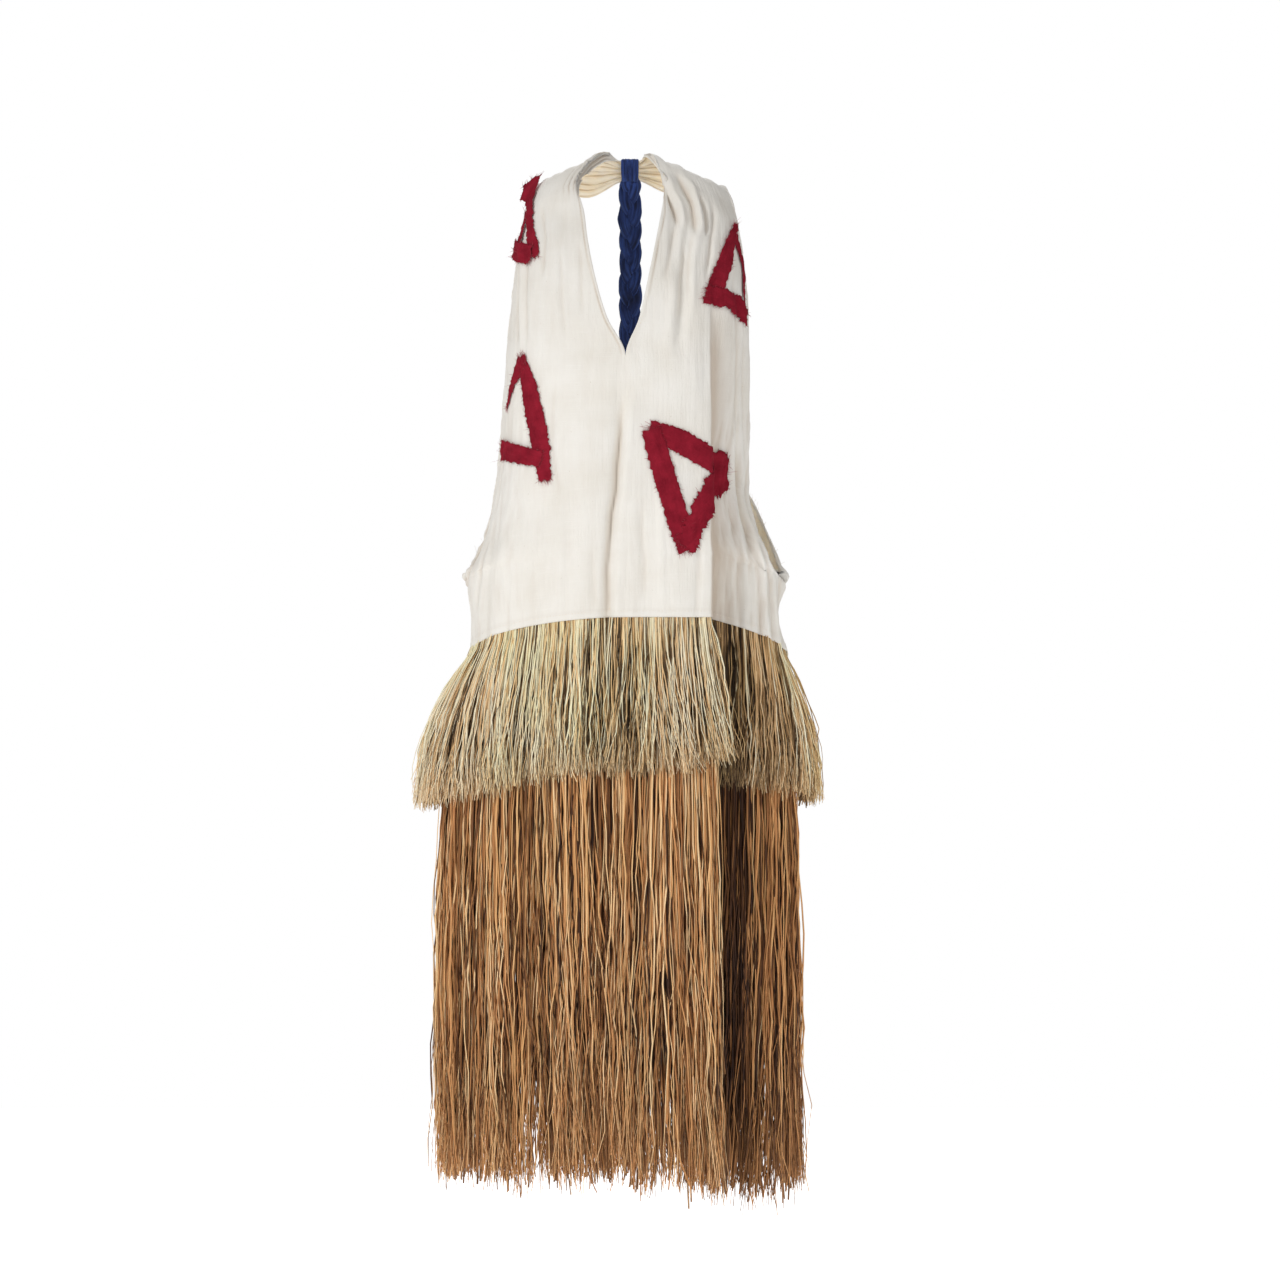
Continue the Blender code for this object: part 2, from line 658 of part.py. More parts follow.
def build_armhole_roll(side, half, material):
    points, normals = armhole_edge(side, half)
    along = unit(np.gradient(points, axis=0))
    away = unit(np.cross(along, normals)) * -half.sign
    offset = ROLL_HALF_WIDTH + ROLL_GAP
    centres = points + away * offset - normals * CLOTH_WALL / 2
    rings = []
    for centre, out, facing in zip(centres, away, normals):
        ring = []
        for corner in range(ROLL_SIDES):
            angle = 2 * math.pi * corner / ROLL_SIDES * half.sign
            ring.append(
                centre + out * ROLL_HALF_WIDTH * math.cos(angle)
                + facing * ROLL_HALF_THICK * math.sin(angle)
            )
        rings.append(ring)
    return tube(side + "_armhole_roll", rings, material)


# Blue loop, braid and the wrap at its end

def wrap_band(name, outline_out, outline_in, axis, low, high, material):
    # A closed band: two matching outlines, one inside the other, between two planes
    points, faces = [], []
    count = len(outline_out)
    for outline in (outline_out, outline_in):
        for place in (low, high):
            for first, second in outline:
                point = [first, second]
                point.insert(axis, place)
                points.append(point)
    for side in range(count):
        after = (side + 1) % count
        out_low, out_high, in_low, in_high = (layer * count for layer in range(4))
        quads = [
            (out_low + side, out_low + after, out_high + after, out_high + side),
            (in_high + side, in_high + after, in_low + after, in_low + side),
            (out_high + side, out_high + after, in_high + after, in_high + side),
            (in_low + side, in_low + after, out_low + after, out_low + side),
        ]
        faces += quads
    return make_object(name, points, faces, material)


def rounded_box(low_a, high_a, low_b, high_b, radius, grow):
    outline = []
    corners = (
        (high_a - radius, high_b - radius, 0), (low_a + radius, high_b - radius, 90),
        (low_a + radius, low_b + radius, 180), (high_a - radius, low_b + radius, 270),
    )
    for centre_a, centre_b, first in corners:
        for turn in (0, 30, 60, 90):
            angle = math.radians(first + turn)
            reach = radius + grow
            place = (centre_a + reach * math.cos(angle), centre_b + reach * math.sin(angle))
            outline.append(place)
    return outline


def build_loop(material):
    box = LOOP_BOX
    inner = rounded_box(box["front"], box["back"], box["low"], box["top"], WRAP_CORNER, 0.0)
    outer = rounded_box(box["front"], box["back"], box["low"], box["top"], WRAP_CORNER, WRAP_WALL)
    low = BRAID_X - box["half_width"]
    wrap_band("neck_loop", outer, inner, 0, low, BRAID_X + box["half_width"], material)


def braid_y(z):
    table = np.array(BRAID_PATH, float)
    return float(spline(table[:, 0], table[:, 1:], np.array([z]))[0, 0])


def build_braid(material):
    for strand in range(3):
        rings = []
        for step in range(STRAND_RINGS + 1):
            z = BRAID_TOP_Z + (BRAID_LOW_Z - BRAID_TOP_Z) * step / STRAND_RINGS
            turn = 2 * math.pi * (BRAID_TOP_Z - z) / BRAID_PERIOD + 2 * math.pi * strand / 3
            centre_x = BRAID_X + STRAND_SWING * math.sin(turn)
            centre_y = braid_y(z) + STRAND_WEAVE * math.sin(2 * turn)
            rings.append([
                (centre_x + STRAND_HALF_WIDTH * math.cos(angle),
                 centre_y - STRAND_HALF_THICK * math.sin(angle), z)
                for angle in (2 * math.pi * side / STRAND_SIDES for side in range(STRAND_SIDES))
            ])
        tube("braid_strand_%d" % (strand + 1), rings, material)
    wrap = END_WRAP
    middle = braid_y(wrap["z"])
    box = (BRAID_X - wrap["half_width"], BRAID_X + wrap["half_width"],
           middle - wrap["half_deep"], middle + wrap["half_deep"])
    inner = rounded_box(*box, WRAP_CORNER, 0.0)
    outer = rounded_box(*box, WRAP_CORNER, WRAP_WALL)
    low = wrap["z"] - wrap["half_height"]
    wrap_band("braid_end_wrap", outer, inner, 2, low, wrap["z"] + wrap["half_height"], material)


# Torn red strips

def level_at(half, girth, z):
    # The level on which the front passes the height z, that far round
    levels = np.linspace(half.knots[half.first_body - 1], half.knots[-1], HEIGHT_SAMPLES)
    girths = np.clip(np.full(len(levels), girth), half.start(levels), half.end(levels))
    heights = half.folded(girths, levels)[:, 2]
    return float(np.interp(-z, -heights, levels))


def solid_tree(objects):
    # A search tree over the finished bodies, in millimetres
    graph = bpy.context.evaluated_depsgraph_get()
    points, faces = [], []
    for obj in objects:
        mesh = obj.evaluated_get(graph).to_mesh()
        first = len(points)
        points += [vertex.co / MILLIMETRE for vertex in mesh.vertices]
        faces += [tuple(first + corner for corner in face.vertices) for face in mesh.polygons]
    return BVHTree.FromPolygons(points, faces)


def patch_sheet(halves, strip):
    # The strip's corners on the bare cloth, two for each step, and the way that each faces
    start = np.array([strip["girth_a"], strip["z_a"]], float)
    end = np.array([strip["girth_b"], strip["z_b"]], float)
    along = (end - start) / np.linalg.norm(end - start)
    across = np.array([-along[1], along[0]])
    if strip["upright"]:
        across = np.array([0.0, 1.0 / along[0]])
    points, normals = [], []
    for step in range(strip["steps"] + 1):
        part = step / strip["steps"]
        width = strip["width_a"] * (1 - part) + strip["width_b"] * part
        middle = start + (end - start) * part
        for offset in (-0.5, 0.5):
            girth, z = middle + across * width * offset
            half = halves["left" if girth < 0 else "right"]
            level = level_at(half, abs(girth), z)
            point, normal = half.surface(np.array([abs(girth)]), level)
            points.append(point[0])
            normals.append(normal[0])
    shape = (strip["steps"] + 1, 2, 3)
    return np.array(points).reshape(shape), np.array(normals).reshape(shape)


def needed_lift(tree, points, normals, step):
    # How far one step of the strip has to rise to clear all that lies under it
    most = 0.0
    for down in np.linspace(0.0, 1.0, PATCH_FINE + 1):
        for side in np.linspace(0.0, 1.0, PATCH_FINE + 1):
            weights = ((1 - down) * (1 - side), (1 - down) * side, down * (1 - side), down * side)
            corners = ((step, 0), (step, 1), (step + 1, 0), (step + 1, 1))
            place = sum(weight * points[corner] for weight, corner in zip(weights, corners))
            facing = unit(sum(weight * normals[corner] for weight, corner in zip(weights, corners)))
            origin = Vector(place + facing * PATCH_REACH)
            hit = tree.ray_cast(origin, Vector(-facing), 2 * PATCH_REACH)
            if hit[3] is not None:
                most = max(most, PATCH_REACH - hit[3])
    return most


def build_patch(halves, strip, below, material):
    points, normals = patch_sheet(halves, strip)
    steps = strip["steps"]
    tree = solid_tree(below)
    needs = [needed_lift(tree, points, normals, step) for step in range(steps)]
    for step in range(steps + 1):
        part = step / steps
        near = needs[max(step - 1, 0):step + 1]
        stand = strip["stand_a"] * (1 - part) ** 2 + strip["stand_b"] * part ** 2
        points[step] = points[step] + normals[step] * (max(near) * PATCH_SPARE + PATCH_GAP + stand)
    faces = [(2 * s, 2 * s + 1, 2 * s + 3, 2 * s + 2) for s in range(steps)]
    facing = np.cross(points[0, 1] - points[0, 0], points[1, 1] - points[0, 0])
    if facing @ normals[0, 0] < 0.0:
        faces = [face[::-1] for face in faces]
    name = "red_%s_%d" % (strip["patch"], strip["layer"])
    patch = make_object(name, points.reshape(-1, 3), faces, material)
    give_wall(patch, PATCH_WALL, 1.0)
    return patch


# Raffia fringe

def zone_points(halves, zone, shares, above):
    # Outer points of the cloth and their facing, at the hem or a little above it
    if zone == "back":
        side = 1.0 - 2.0 * shares
        drop = np.linalg.norm(back_hem(side) - back_top(side), axis=1)
        found = [back_surface(np.array([s]), 1.0 - above / d) for s, d in zip(side, drop)]
        return np.array([f[0][0] for f in found]), np.array([f[1][0] for f in found])
    left, right = halves["left"], halves["right"]
    hem = right.knots[-1]
    level = hem - above
    if zone == "front":
        low, high = -float(left.end(hem)) + ZONE_MARGIN, FOLD_AT - FOLD_MARGIN
    else:
        path = float(right.fold_path(np.array(hem))[-1])
        low, high = FOLD_AT + path + FOLD_MARGIN, float(right.end(hem)) - ZONE_MARGIN
    points, normals = [], []
    for share in shares:
        girth = low + (high - low) * share
        half = left if girth < 0 else right
        point, normal = half.surface(np.array([abs(girth)]), level)
        points.append(point[0])
        normals.append(normal[0])
    return np.array(points), np.array(normals)


def lock_out(tier, facing):
    # How far a lock stands out at its tip, by the way that it faces
    side = tier["out_left"] if facing[0] < 0 else tier["out_right"]
    face = tier["out_front"] if facing[1] < 0 else tier["out_back"]
    return side * facing[0] ** 2 + face * facing[1] ** 2


def lock_length(tier, facing):
    face = tier["long_front"] if facing[1] < 0 else tier["long_back"]
    return tier["long_side"] * facing[0] ** 2 + face * facing[1] ** 2


def lock_rings(tier, quad, facing, along, ragged, recess):
    # Rings of four corners down one lock, from the strip's lower face to the tip
    root = sum(quad) / 4.0
    width = np.linalg.norm(quad[1] - quad[0])
    long = lock_length(tier, facing) + ragged
    out = lock_out(tier, facing) * (1.0 - RECESS_CALM * recess)
    sideways = tier["spread"] * smooth((root[0] - SPREAD_START) / SPREAD_RUN)
    sideways *= facing[1] < SPREAD_FACING
    sideways *= 1.0 - min(recess * RECESS_STILL, 1.0)
    rings = []
    for part in tier["stations"][1:]:
        stand = out * (1.0 - (1.0 - part) ** tier["bend"])
        centre = root + facing * stand + np.array([sideways * part, 0.0, -long * part])
        half_width = width * (0.5 if part < 1.0 else TIP_WIDTH)
        half_thick = tier["thick"] * (0.5 if part < 1.0 else TIP_THICK)
        rings.append([
            centre - along * half_width + facing * half_thick,
            centre + along * half_width + facing * half_thick,
            centre + along * half_width - facing * half_thick,
            centre - along * half_width - facing * half_thick,
        ])
    return rings


def build_fringe_segment(halves, tier, segment, material, chance):
    locks = segment[tier["tier"]]
    inset = CLOTH_WALL + STRIP_GAP + tier["inset"]
    # Each lock has a cell, and a narrower cell parts it from the next
    marks = [0.0]
    for lock in range(locks):
        marks += [(lock + LOCK_SHARE) / locks, (lock + 1.0) / locks]
    marks[-1] -= LAST_CELL_TRIM / locks
    shares = segment["start"] + np.array(marks) * (segment["end"] - segment["start"])
    top, top_facing = zone_points(halves, segment["zone"], shares, STRIP_LAP)
    low, low_facing = zone_points(halves, segment["zone"], shares, 0.0)
    low = low + np.array([0.0, 0.0, -STRIP_DROP])
    outer_top = top - top_facing * inset
    inner_top = top - top_facing * (inset + STRIP_WALL)
    outer_low = low - low_facing * inset
    inner_low = low - low_facing * (inset + STRIP_WALL)
    columns = len(marks)
    points = list(outer_top) + list(inner_top) + list(outer_low) + list(inner_low)
    a, b, c, d = 0, columns, 2 * columns, 3 * columns
    faces = [(a, b, d, c), (a + columns - 1, c + columns - 1, d + columns - 1, b + columns - 1)]
    for cell in range(columns - 1):
        after = cell + 1
        faces.append((a + cell, c + cell, c + after, a + after))
        faces.append((b + after, d + after, d + cell, b + cell))
        faces.append((a + after, b + after, b + cell, a + cell))
        if cell % 2:
            faces.append((c + cell, d + cell, d + after, c + after))
            continue
        quad = [outer_low[cell], outer_low[after], inner_low[after], inner_low[cell]]
        facing = np.array([low_facing[cell][0], low_facing[cell][1], 0.0])
        facing = facing / np.linalg.norm(facing)
        along = np.array([-facing[1], facing[0], 0.0])
        recess = 0.0
        if segment["zone"] == "recess":
            recess = float(1.0 - smooth(shares[cell] / RECESS_SHARE))
        ragged = tier["ragged"] * chance.uniform(-1.0, 1.0)
        ring = [c + cell, c + after, d + after, d + cell]
        for corners in lock_rings(tier, quad, facing, along, ragged, recess):
            following = [len(points) + corner for corner in range(4)]
            points += corners
            for side in range(4):
                turn = (side + 1) % 4
                faces.append((ring[turn], ring[side], following[side], following[turn]))
            ring = following
        faces.append(tuple(reversed(ring)))
    make_object("raffia_%s_%s" % (tier["tier"], segment["name"]), points, faces, material)


def main():
    clear_scene()
    cotton = make_material("natural_cotton", (0.80, 0.76, 0.68), 0.9)
    blue = make_material("blue_braid", (0.02, 0.035, 0.16), 0.85)
    red = make_material("red_torn_cloth", (0.30, 0.015, 0.03), 0.9)
    straw = {
        "upper": make_material("pale_raffia", (0.52, 0.44, 0.24), 0.7),
        "lower": make_material("golden_raffia", (0.40, 0.22, 0.09), 0.7),
    }
    halves = {"left": FrontHalf("left"), "right": FrontHalf("right")}
    below = [build_front(halves, cotton)]
    build_back(cotton)
    for side, half in halves.items():
        below.append(build_armhole_roll(side, half, cotton))
    build_loop(blue)
    build_braid(blue)
    for strip in named_rows(PATCH_COLUMNS, PATCH_STRIPS):
        below.append(build_patch(halves, strip, below, red))
    chance = random.Random(7)
    for tier in named_rows(TIER_COLUMNS, TIERS):
        for segment in named_rows(SEGMENT_COLUMNS, SEGMENTS):
            build_fringe_segment(halves, tier, segment, straw[tier["tier"]], chance)


main()
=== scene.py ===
import math

import bpy
import numpy as np
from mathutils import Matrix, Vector


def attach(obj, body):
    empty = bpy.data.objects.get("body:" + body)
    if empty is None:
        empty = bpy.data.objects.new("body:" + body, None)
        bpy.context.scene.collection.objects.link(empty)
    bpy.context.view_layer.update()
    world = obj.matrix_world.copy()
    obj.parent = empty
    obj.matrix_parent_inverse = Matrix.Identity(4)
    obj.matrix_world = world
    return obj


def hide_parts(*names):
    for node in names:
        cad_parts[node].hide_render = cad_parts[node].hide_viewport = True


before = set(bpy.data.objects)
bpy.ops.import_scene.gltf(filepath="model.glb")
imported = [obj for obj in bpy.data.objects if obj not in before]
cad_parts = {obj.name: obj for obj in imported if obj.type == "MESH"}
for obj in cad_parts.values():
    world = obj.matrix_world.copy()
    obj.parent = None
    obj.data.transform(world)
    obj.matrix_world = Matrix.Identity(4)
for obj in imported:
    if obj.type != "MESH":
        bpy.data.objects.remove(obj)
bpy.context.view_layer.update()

# A worn cotton and raffia dress. Shapes are worked out in millimetres, in the part's own frame:
# X to the viewer's right, -Y towards the viewer, Z up, zero at the back of the neck.

mm = 0.001
fullTurn = 2 * math.pi
# Where each piece's cloth begins, in millimetres, so that no two share their weave
clothAt = {"back": 900.0, "roll": 1500.0, "seam": 1600.0, "strip": 2600.0, "tape": 3200.0}
seeds = {"strip": 100, "upper": 200, "lower": 300, "threads": 900, "looseThreads": 77}


# Small sums

def smooth(value):
    t = np.clip(value, 0.0, 1.0)
    return t * t * (3.0 - 2.0 * t)


def rises(value, start, span):
    # From 0 at the start to 1 a span further on
    return smooth((value - start) / span)


def fades(value, start, span):
    return 1.0 - rises(value, start, span)


def bell(value, middle, width):
    return np.exp(-((value - middle) / width) ** 2)


def unit(vectors):
    length = np.linalg.norm(vectors, axis=-1, keepdims=True)
    return vectors / np.maximum(length, 1e-9)


def flattened(vectors):
    # The same headings without their rise
    flat = vectors.copy()
    flat[:, 2] = 0.0
    return unit(flat)


def aside(flat):
    # A quarter turn from each of these level headings
    return np.stack([-flat[:, 1], flat[:, 0], np.zeros(len(flat))], axis=-1)


def headings(path):
    return unit(np.gradient(path, axis=0))


def summed(steps):
    # How far along a path each of its points lies
    return np.concatenate([[0.0], np.cumsum(steps)])


def reading(table, at):
    table = np.array(table, float)
    return np.interp(at, table[:, 0], table[:, 1])


def anglesRound(count):
    return fullTurn * np.arange(count) / count


def speckle(i, j, seed):
    # A number between 0 and 1 that looks random, for each whole i and j
    value = np.sin(i * 127.1 + j * 311.7 + seed * 74.7) * 43758.5453
    return value - np.floor(value)


def rumple(u, v, seed):
    # Soft random hills and hollows between -1 and 1, one for each unit of u and v
    i, j = np.floor(u), np.floor(v)
    a, b = smooth(u - i), smooth(v - j)
    upper = speckle(i, j, seed) * (1 - a) + speckle(i + 1, j, seed) * a
    lower = speckle(i, j + 1, seed) * (1 - a) + speckle(i + 1, j + 1, seed) * a
    return (upper * (1 - b) + lower * b) * 2.0 - 1.0


def spline(knots, values, at):
    # A smooth curve through the values that never swings past them
    slopes = np.gradient(values, knots, axis=0)
    gaps = np.diff(knots).reshape((-1,) + (1,) * (values.ndim - 1))
    secants = np.diff(values, axis=0) / gaps
    limit = 3.0 * np.minimum(np.abs(secants[:-1]), np.abs(secants[1:]))
    sameWay = secants[:-1] * secants[1:] > 0.0
    slopes[1:-1] = np.where(sameWay, np.clip(slopes[1:-1], -limit, limit), 0.0)
    index = np.clip(np.searchsorted(knots, at, side="right") - 1, 0, len(knots) - 2)
    if values.ndim == 3:
        pick = (index, np.arange(len(at)))
        above = (index + 1, np.arange(len(at)))
    else:
        pick, above = index, index + 1
    span = (knots[index + 1] - knots[index])[:, None]
    t = (at - knots[index])[:, None] / span
    return (
        (2 * t ** 3 - 3 * t ** 2 + 1) * values[pick]
        + (t ** 3 - 2 * t ** 2 + t) * slopes[pick] * span
        + (3 * t ** 2 - 2 * t ** 3) * values[above]
        + (t ** 3 - t ** 2) * slopes[above] * span
    )


# Nodes

class Wire:
    # A node's output that takes part in sums
    def __init__(self, board, socket):
        self.board, self.socket = board, socket

    def beside(self, output):
        return Wire(self.board, self.socket.node.outputs[output])

    def __add__(self, other):
        return self.board.maths("ADD", self, other)

    def __radd__(self, other):
        return self.board.maths("ADD", other, self)

    def __sub__(self, other):
        return self.board.maths("SUBTRACT", self, other)

    def __rsub__(self, other):
        return self.board.maths("SUBTRACT", other, self)

    def __mul__(self, other):
        return self.board.maths("MULTIPLY", self, other)

    def __rmul__(self, other):
        return self.board.maths("MULTIPLY", other, self)

    def __truediv__(self, other):
        return self.board.maths("DIVIDE", self, other)

    def __rtruediv__(self, other):
        return self.board.maths("DIVIDE", other, self)

    def __pow__(self, other):
        return self.board.maths("POWER", self, other)

    def __rpow__(self, other):
        return self.board.maths("POWER", other, self)


class Board:
    # A node tree being laid out, in a material, a modifier or the world
    def __init__(self, tree):
        self.tree = tree

    def feed(self, socket, value):
        if isinstance(value, Wire):
            self.tree.links.new(value.socket, socket)
        else:
            socket.default_value = value

    def node(self, kind, values=None, output=0, **settings):
        made = self.tree.nodes.new(kind)
        for name, value in settings.items():
            if name == "stops":
                while len(made.color_ramp.elements) < len(value):
                    made.color_ramp.elements.new(0.5)
                for stop, (place, colour) in zip(made.color_ramp.elements, value):
                    stop.position, stop.color = place, (*colour, 1.0)
            else:
                setattr(made, name, value)
        for name, value in (values or {}).items():
            self.feed(made.inputs[name], value)
        return Wire(self, made.outputs[output])

    def maths(self, operation, first, second=0.0):
        return self.node("ShaderNodeMath", {0: first, 1: second}, operation=operation)

    def vectors(self, operation, first, second):
        return self.node("ShaderNodeVectorMath", {0: first, 1: second}, operation=operation)

    def times(self, vector, number):
        return self.node("ShaderNodeVectorMath", {0: vector, "Scale": number}, operation="SCALE")

    def mix(self, mask, first, second, kind="MIX"):
        first, second = ((*c, 1.0) if isinstance(c, tuple) else c for c in (first, second))
        values = {0: mask, 6: first, 7: second}
        return self.node("ShaderNodeMix", values, 2, data_type="RGBA", blend_type=kind)

    def noise(self, place, scale, detail=2.0, rough=0.5):
        values = {"Vector": place, "Scale": scale, "Detail": detail, "Roughness": rough}
        return self.node("ShaderNodeTexNoise", values)

    def grain(self, place, across, down, deep=1.0, detail=2.0, rough=0.5):
        # Noise with a scale of its own along each axis
        return self.noise(self.vectors("MULTIPLY", place, (across, down, deep)), 1.0, detail, rough)

    def ramp(self, value, *stops):
        return self.node("ShaderNodeValToRGB", {0: value}, stops=stops)

    def mask(self, value, low, high):
        return self.ramp(value, (low, (0, 0, 0)), (high, (1, 1, 1)))


class Finish(Board):
    def __init__(self, name, roughness, gloss=0.25, sheen=0.0, sheenColour=(1.0, 1.0, 1.0)):
        self.material = bpy.data.materials.new(name)
        self.material.use_nodes = True
        super().__init__(self.material.node_tree)
        self.shader = self.tree.nodes["Principled BSDF"]
        self.put("Roughness", roughness)
        self.put("Specular IOR Level", gloss)
        if sheen:
            self.put("Sheen Weight", sheen)
            self.put("Sheen Roughness", 0.6)
            self.put("Sheen Tint", (*sheenColour, 1.0))

    def put(self, name, value):
        self.feed(self.shader.inputs[name], value)

    def paint(self, colour, *layers):
        for mask, tint in layers:
            colour = self.mix(mask, colour, tint)
        self.put("Base Color", colour)

    def place(self, kind="UV"):
        return self.node("ShaderNodeTexCoord", output=kind)

    def attribute(self, name):
        return self.node("ShaderNodeAttribute", output="Fac", attribute_name=name)

    def bump(self, height, depth, strength, under=None):
        values = {"Height": height, "Distance": depth, "Strength": strength}
        if under is not None:
            values["Normal"] = under
        return self.node("ShaderNodeBump", values)

    def weave(self, place, threads):
        # Over and under threads of a plain weave, as a height
        x = self.node("ShaderNodeSeparateXYZ", {0: place})
        wobble = self.grain(place, 60.0, 60.0, detail=1.0) * 2.0
        across, down = (self.maths("SINE", axis * (threads * fullTurn) + wobble)
                        for axis in (x, x.beside(1)))
        return across * down * 0.5 + 0.5


# Finishes

cottonLook = {
    "cloth": (0.85, 0.82, 0.765), "shade": (0.79, 0.75, 0.68), "slub": (0.92, 0.90, 0.855),
    # crease is the colour of painted shade in creases, folds and hollows, and the share after it is how
    # strongly it is painted
    "crease": (0.54, 0.43, 0.33), "creaseShare": 0.7, "crinkleDepth": 0.0017,
    "speck": (0.36, 0.25, 0.14), "threads": 900.0, "threadDepth": 0.00012,
}
# The inside is the same cloth, tinted a warmer tan as painted warm bounce light, with a darker colour for
# painted shade in its creases
insideLook = cottonLook | {
    "cloth": (0.92, 0.835, 0.725), "shade": (0.86, 0.745, 0.605), "slub": (0.90, 0.84, 0.75),
    "crease": (0.33, 0.22, 0.13), "creaseShare": 0.85, "crinkleDepth": 0.0017 * 1.6,
}


def makeCotton(name, look, inside):
    finish = Finish(name, 0.88, sheen=0.12)
    place = finish.place()
    cloud = finish.mask(finish.noise(place, 14.0, 3.0), 0.35, 0.7)
    lengthwise = finish.mask(finish.grain(place, 1300.0, 26.0), 0.56, 0.78)
    crosswise = finish.mask(finish.grain(place, 22.0, 1500.0), 0.56, 0.78)
    specks = finish.mask(finish.grain(place, 420.0, 420.0, detail=1.0), 0.775, 0.80)
    # Painted shade in valleys: the crease numbers are above 0 for valleys seen from outside and below 0 for
    # valleys seen from inside
    paintedShade = finish.mask(finish.attribute("crease") * (-1.0 if inside else 1.0), 0.0, 1.0)
    finish.paint(look["cloth"], (cloud, look["shade"]), (lengthwise * 0.30, look["slub"]),
                 (crosswise * 0.40, look["slub"]), (specks * 0.55, look["speck"]),
                 (paintedShade * look["creaseShare"], look["crease"]))
    crinkles = finish.grain(place, 210.0, 17.0, detail=3.0, rough=0.55)
    crumples = finish.grain(place, 60.0, 34.0, detail=4.0, rough=0.6)
    slubs = (lengthwise + crosswise) * 0.04
    normal = finish.bump(crinkles * 0.7 + crumples * 0.7 + slubs, look["crinkleDepth"], 0.9)
    threads = finish.weave(place, look["threads"])
    finish.put("Normal", finish.bump(threads, look["threadDepth"], 0.5, normal))
    if inside:  # thin cloth lets some light through
        finish.put("Subsurface Weight", 0.7)
        finish.put("Subsurface Radius", (1.0, 0.88, 0.70))
        finish.put("Subsurface Scale", 0.004)
    return finish.material


crimson = {
    "dark": (0.185, 0.006, 0.016), "light": (0.300, 0.012, 0.028), "streak": (0.37, 0.024, 0.048),
    "thread": (0.12, 0.004, 0.012), "threads": 780.0, "threadDepth": 0.00014, "ruckDepth": 0.0011,
}


def makeRed(name):
    look = crimson
    finish = Finish(name, 0.92, 0.12)
    place = finish.place()
    cloud = finish.mask(finish.noise(place, 60.0, 3.0), 0.3, 0.75)
    streak = finish.mask(finish.grain(place, 90.0, 1400.0), 0.5, 0.8)
    thread = finish.mask(finish.grain(place, 1500.0, 120.0), 0.5, 0.8)
    finish.paint(look["dark"], (cloud, look["light"]), (streak * 0.5, look["streak"]),
                 (thread * 0.35, look["thread"]))
    normal = finish.bump(finish.grain(place, 260.0, 60.0, detail=3.0), look["ruckDepth"], 0.8)
    threads = finish.weave(place, look["threads"])
    finish.put("Normal", finish.bump(threads, look["threadDepth"], 0.8, normal))
    return finish.material


navy = {
    "dark": (0.003, 0.006, 0.029), "light": (0.009, 0.021, 0.105), "ribHighlight": (0.028, 0.066, 0.27),
    "sheen": (0.30, 0.45, 1.0), "foldDepth": 0.0035, "ribDepth": 0.0009,
}


def makeBlue(name):
    look = navy
    finish = Finish(name, 0.9, sheen=0.28, sheenColour=look["sheen"])
    place = finish.place()
    cloud = finish.mask(finish.noise(place, 70.0, 3.0), 0.3, 0.75)
    ribs = finish.grain(place, 330.0, 26.0, detail=3.0)
    fuzz = finish.noise(place, 2600.0)
    # The ribs' tops are painted lighter, a painted highlight where they stand up
    finish.paint(look["dark"], (cloud, look["light"]),
                 (finish.mask(ribs, 0.42, 0.64) * 0.75, look["ribHighlight"]))
    normal = finish.bump(finish.grain(place, 210.0, 60.0), look["foldDepth"], 0.8)
    finish.put("Normal", finish.bump(ribs * 0.7 + fuzz * 0.3, look["ribDepth"], 0.8, normal))
    return finish.material


def makeThread(name, dark, light):
    finish = Finish(name, 0.85, sheen=0.1)
    place = finish.place("Object")
    finish.paint(dark, (finish.noise(place, 420.0, 3.0), light))
    finish.put("Normal", finish.bump(finish.noise(place, 3000.0), 0.0002, 0.6))
    return finish.material


def makeRaffia(name, stops, tip, green):
    # Each strand has its own tone, which also carries painted shade on deeper locks, in gaps and in the
    # fold, and painted light towards the sides; and lengthwise streaks, darker nodes and paler tips
    finish = Finish(name, 0.62, 0.35)
    place = finish.place("Object")
    streak = finish.grain(place, 700.0, 700.0, 16.0, 3.0)
    patch = finish.grain(place, 46.0, 46.0, 9.0)
    tone = finish.attribute("tone") * 0.84 + streak * 0.22 + (patch - 0.5) * 0.4 - 0.03
    fresh = finish.mask(finish.grain(place, 9.0, 9.0, 5.0), 0.42, 0.62)
    colour = finish.mix(fresh * green, finish.ramp(tone, *stops), (0.88, 1.0, 0.74), "MULTIPLY")
    finish.paint(colour, (finish.mask(finish.attribute("along"), 0.80, 1.0) * 0.3, tip))
    finish.put("Roughness", 0.48 + streak * 0.3)
    finish.put("Normal", finish.bump(streak, 0.0006, 0.6))
    return finish.material


cotton = makeCotton("naturalCotton", cottonLook, False)
cottonInside = makeCotton("cottonInside", insideLook, True)
redCloth = makeRed("tornCrimson")
blueCloth = makeBlue("navyJersey")
cottonThread = makeThread("cottonThread", (0.72, 0.62, 0.48), (0.92, 0.87, 0.78))
redThread = makeThread("redThread", (0.19, 0.008, 0.018), (0.50, 0.060, 0.085))
paleRaffia = makeRaffia("paleRaffia", (
    (0.08, (0.045, 0.025, 0.011)), (0.28, (0.20, 0.115, 0.050)), (0.43, (0.58, 0.355, 0.160)),
    (0.57, (0.90, 0.590, 0.300)), (0.70, (1.0, 0.76, 0.45)), (0.86, (1.0, 0.91, 0.68)),
), (0.97, 0.66, 0.35), 0.32)
goldRaffia = makeRaffia("goldenRaffia", (
    (0.06, (0.035, 0.012, 0.005)), (0.24, (0.13, 0.050, 0.016)), (0.42, (0.44, 0.190, 0.066)),
    (0.60, (0.69, 0.330, 0.125)), (0.78, (0.86, 0.50, 0.215)), (0.95, (1.0, 0.71, 0.40)),
), (0.78, 0.38, 0.15), 0.10)
print("finishes made")


# Meshes

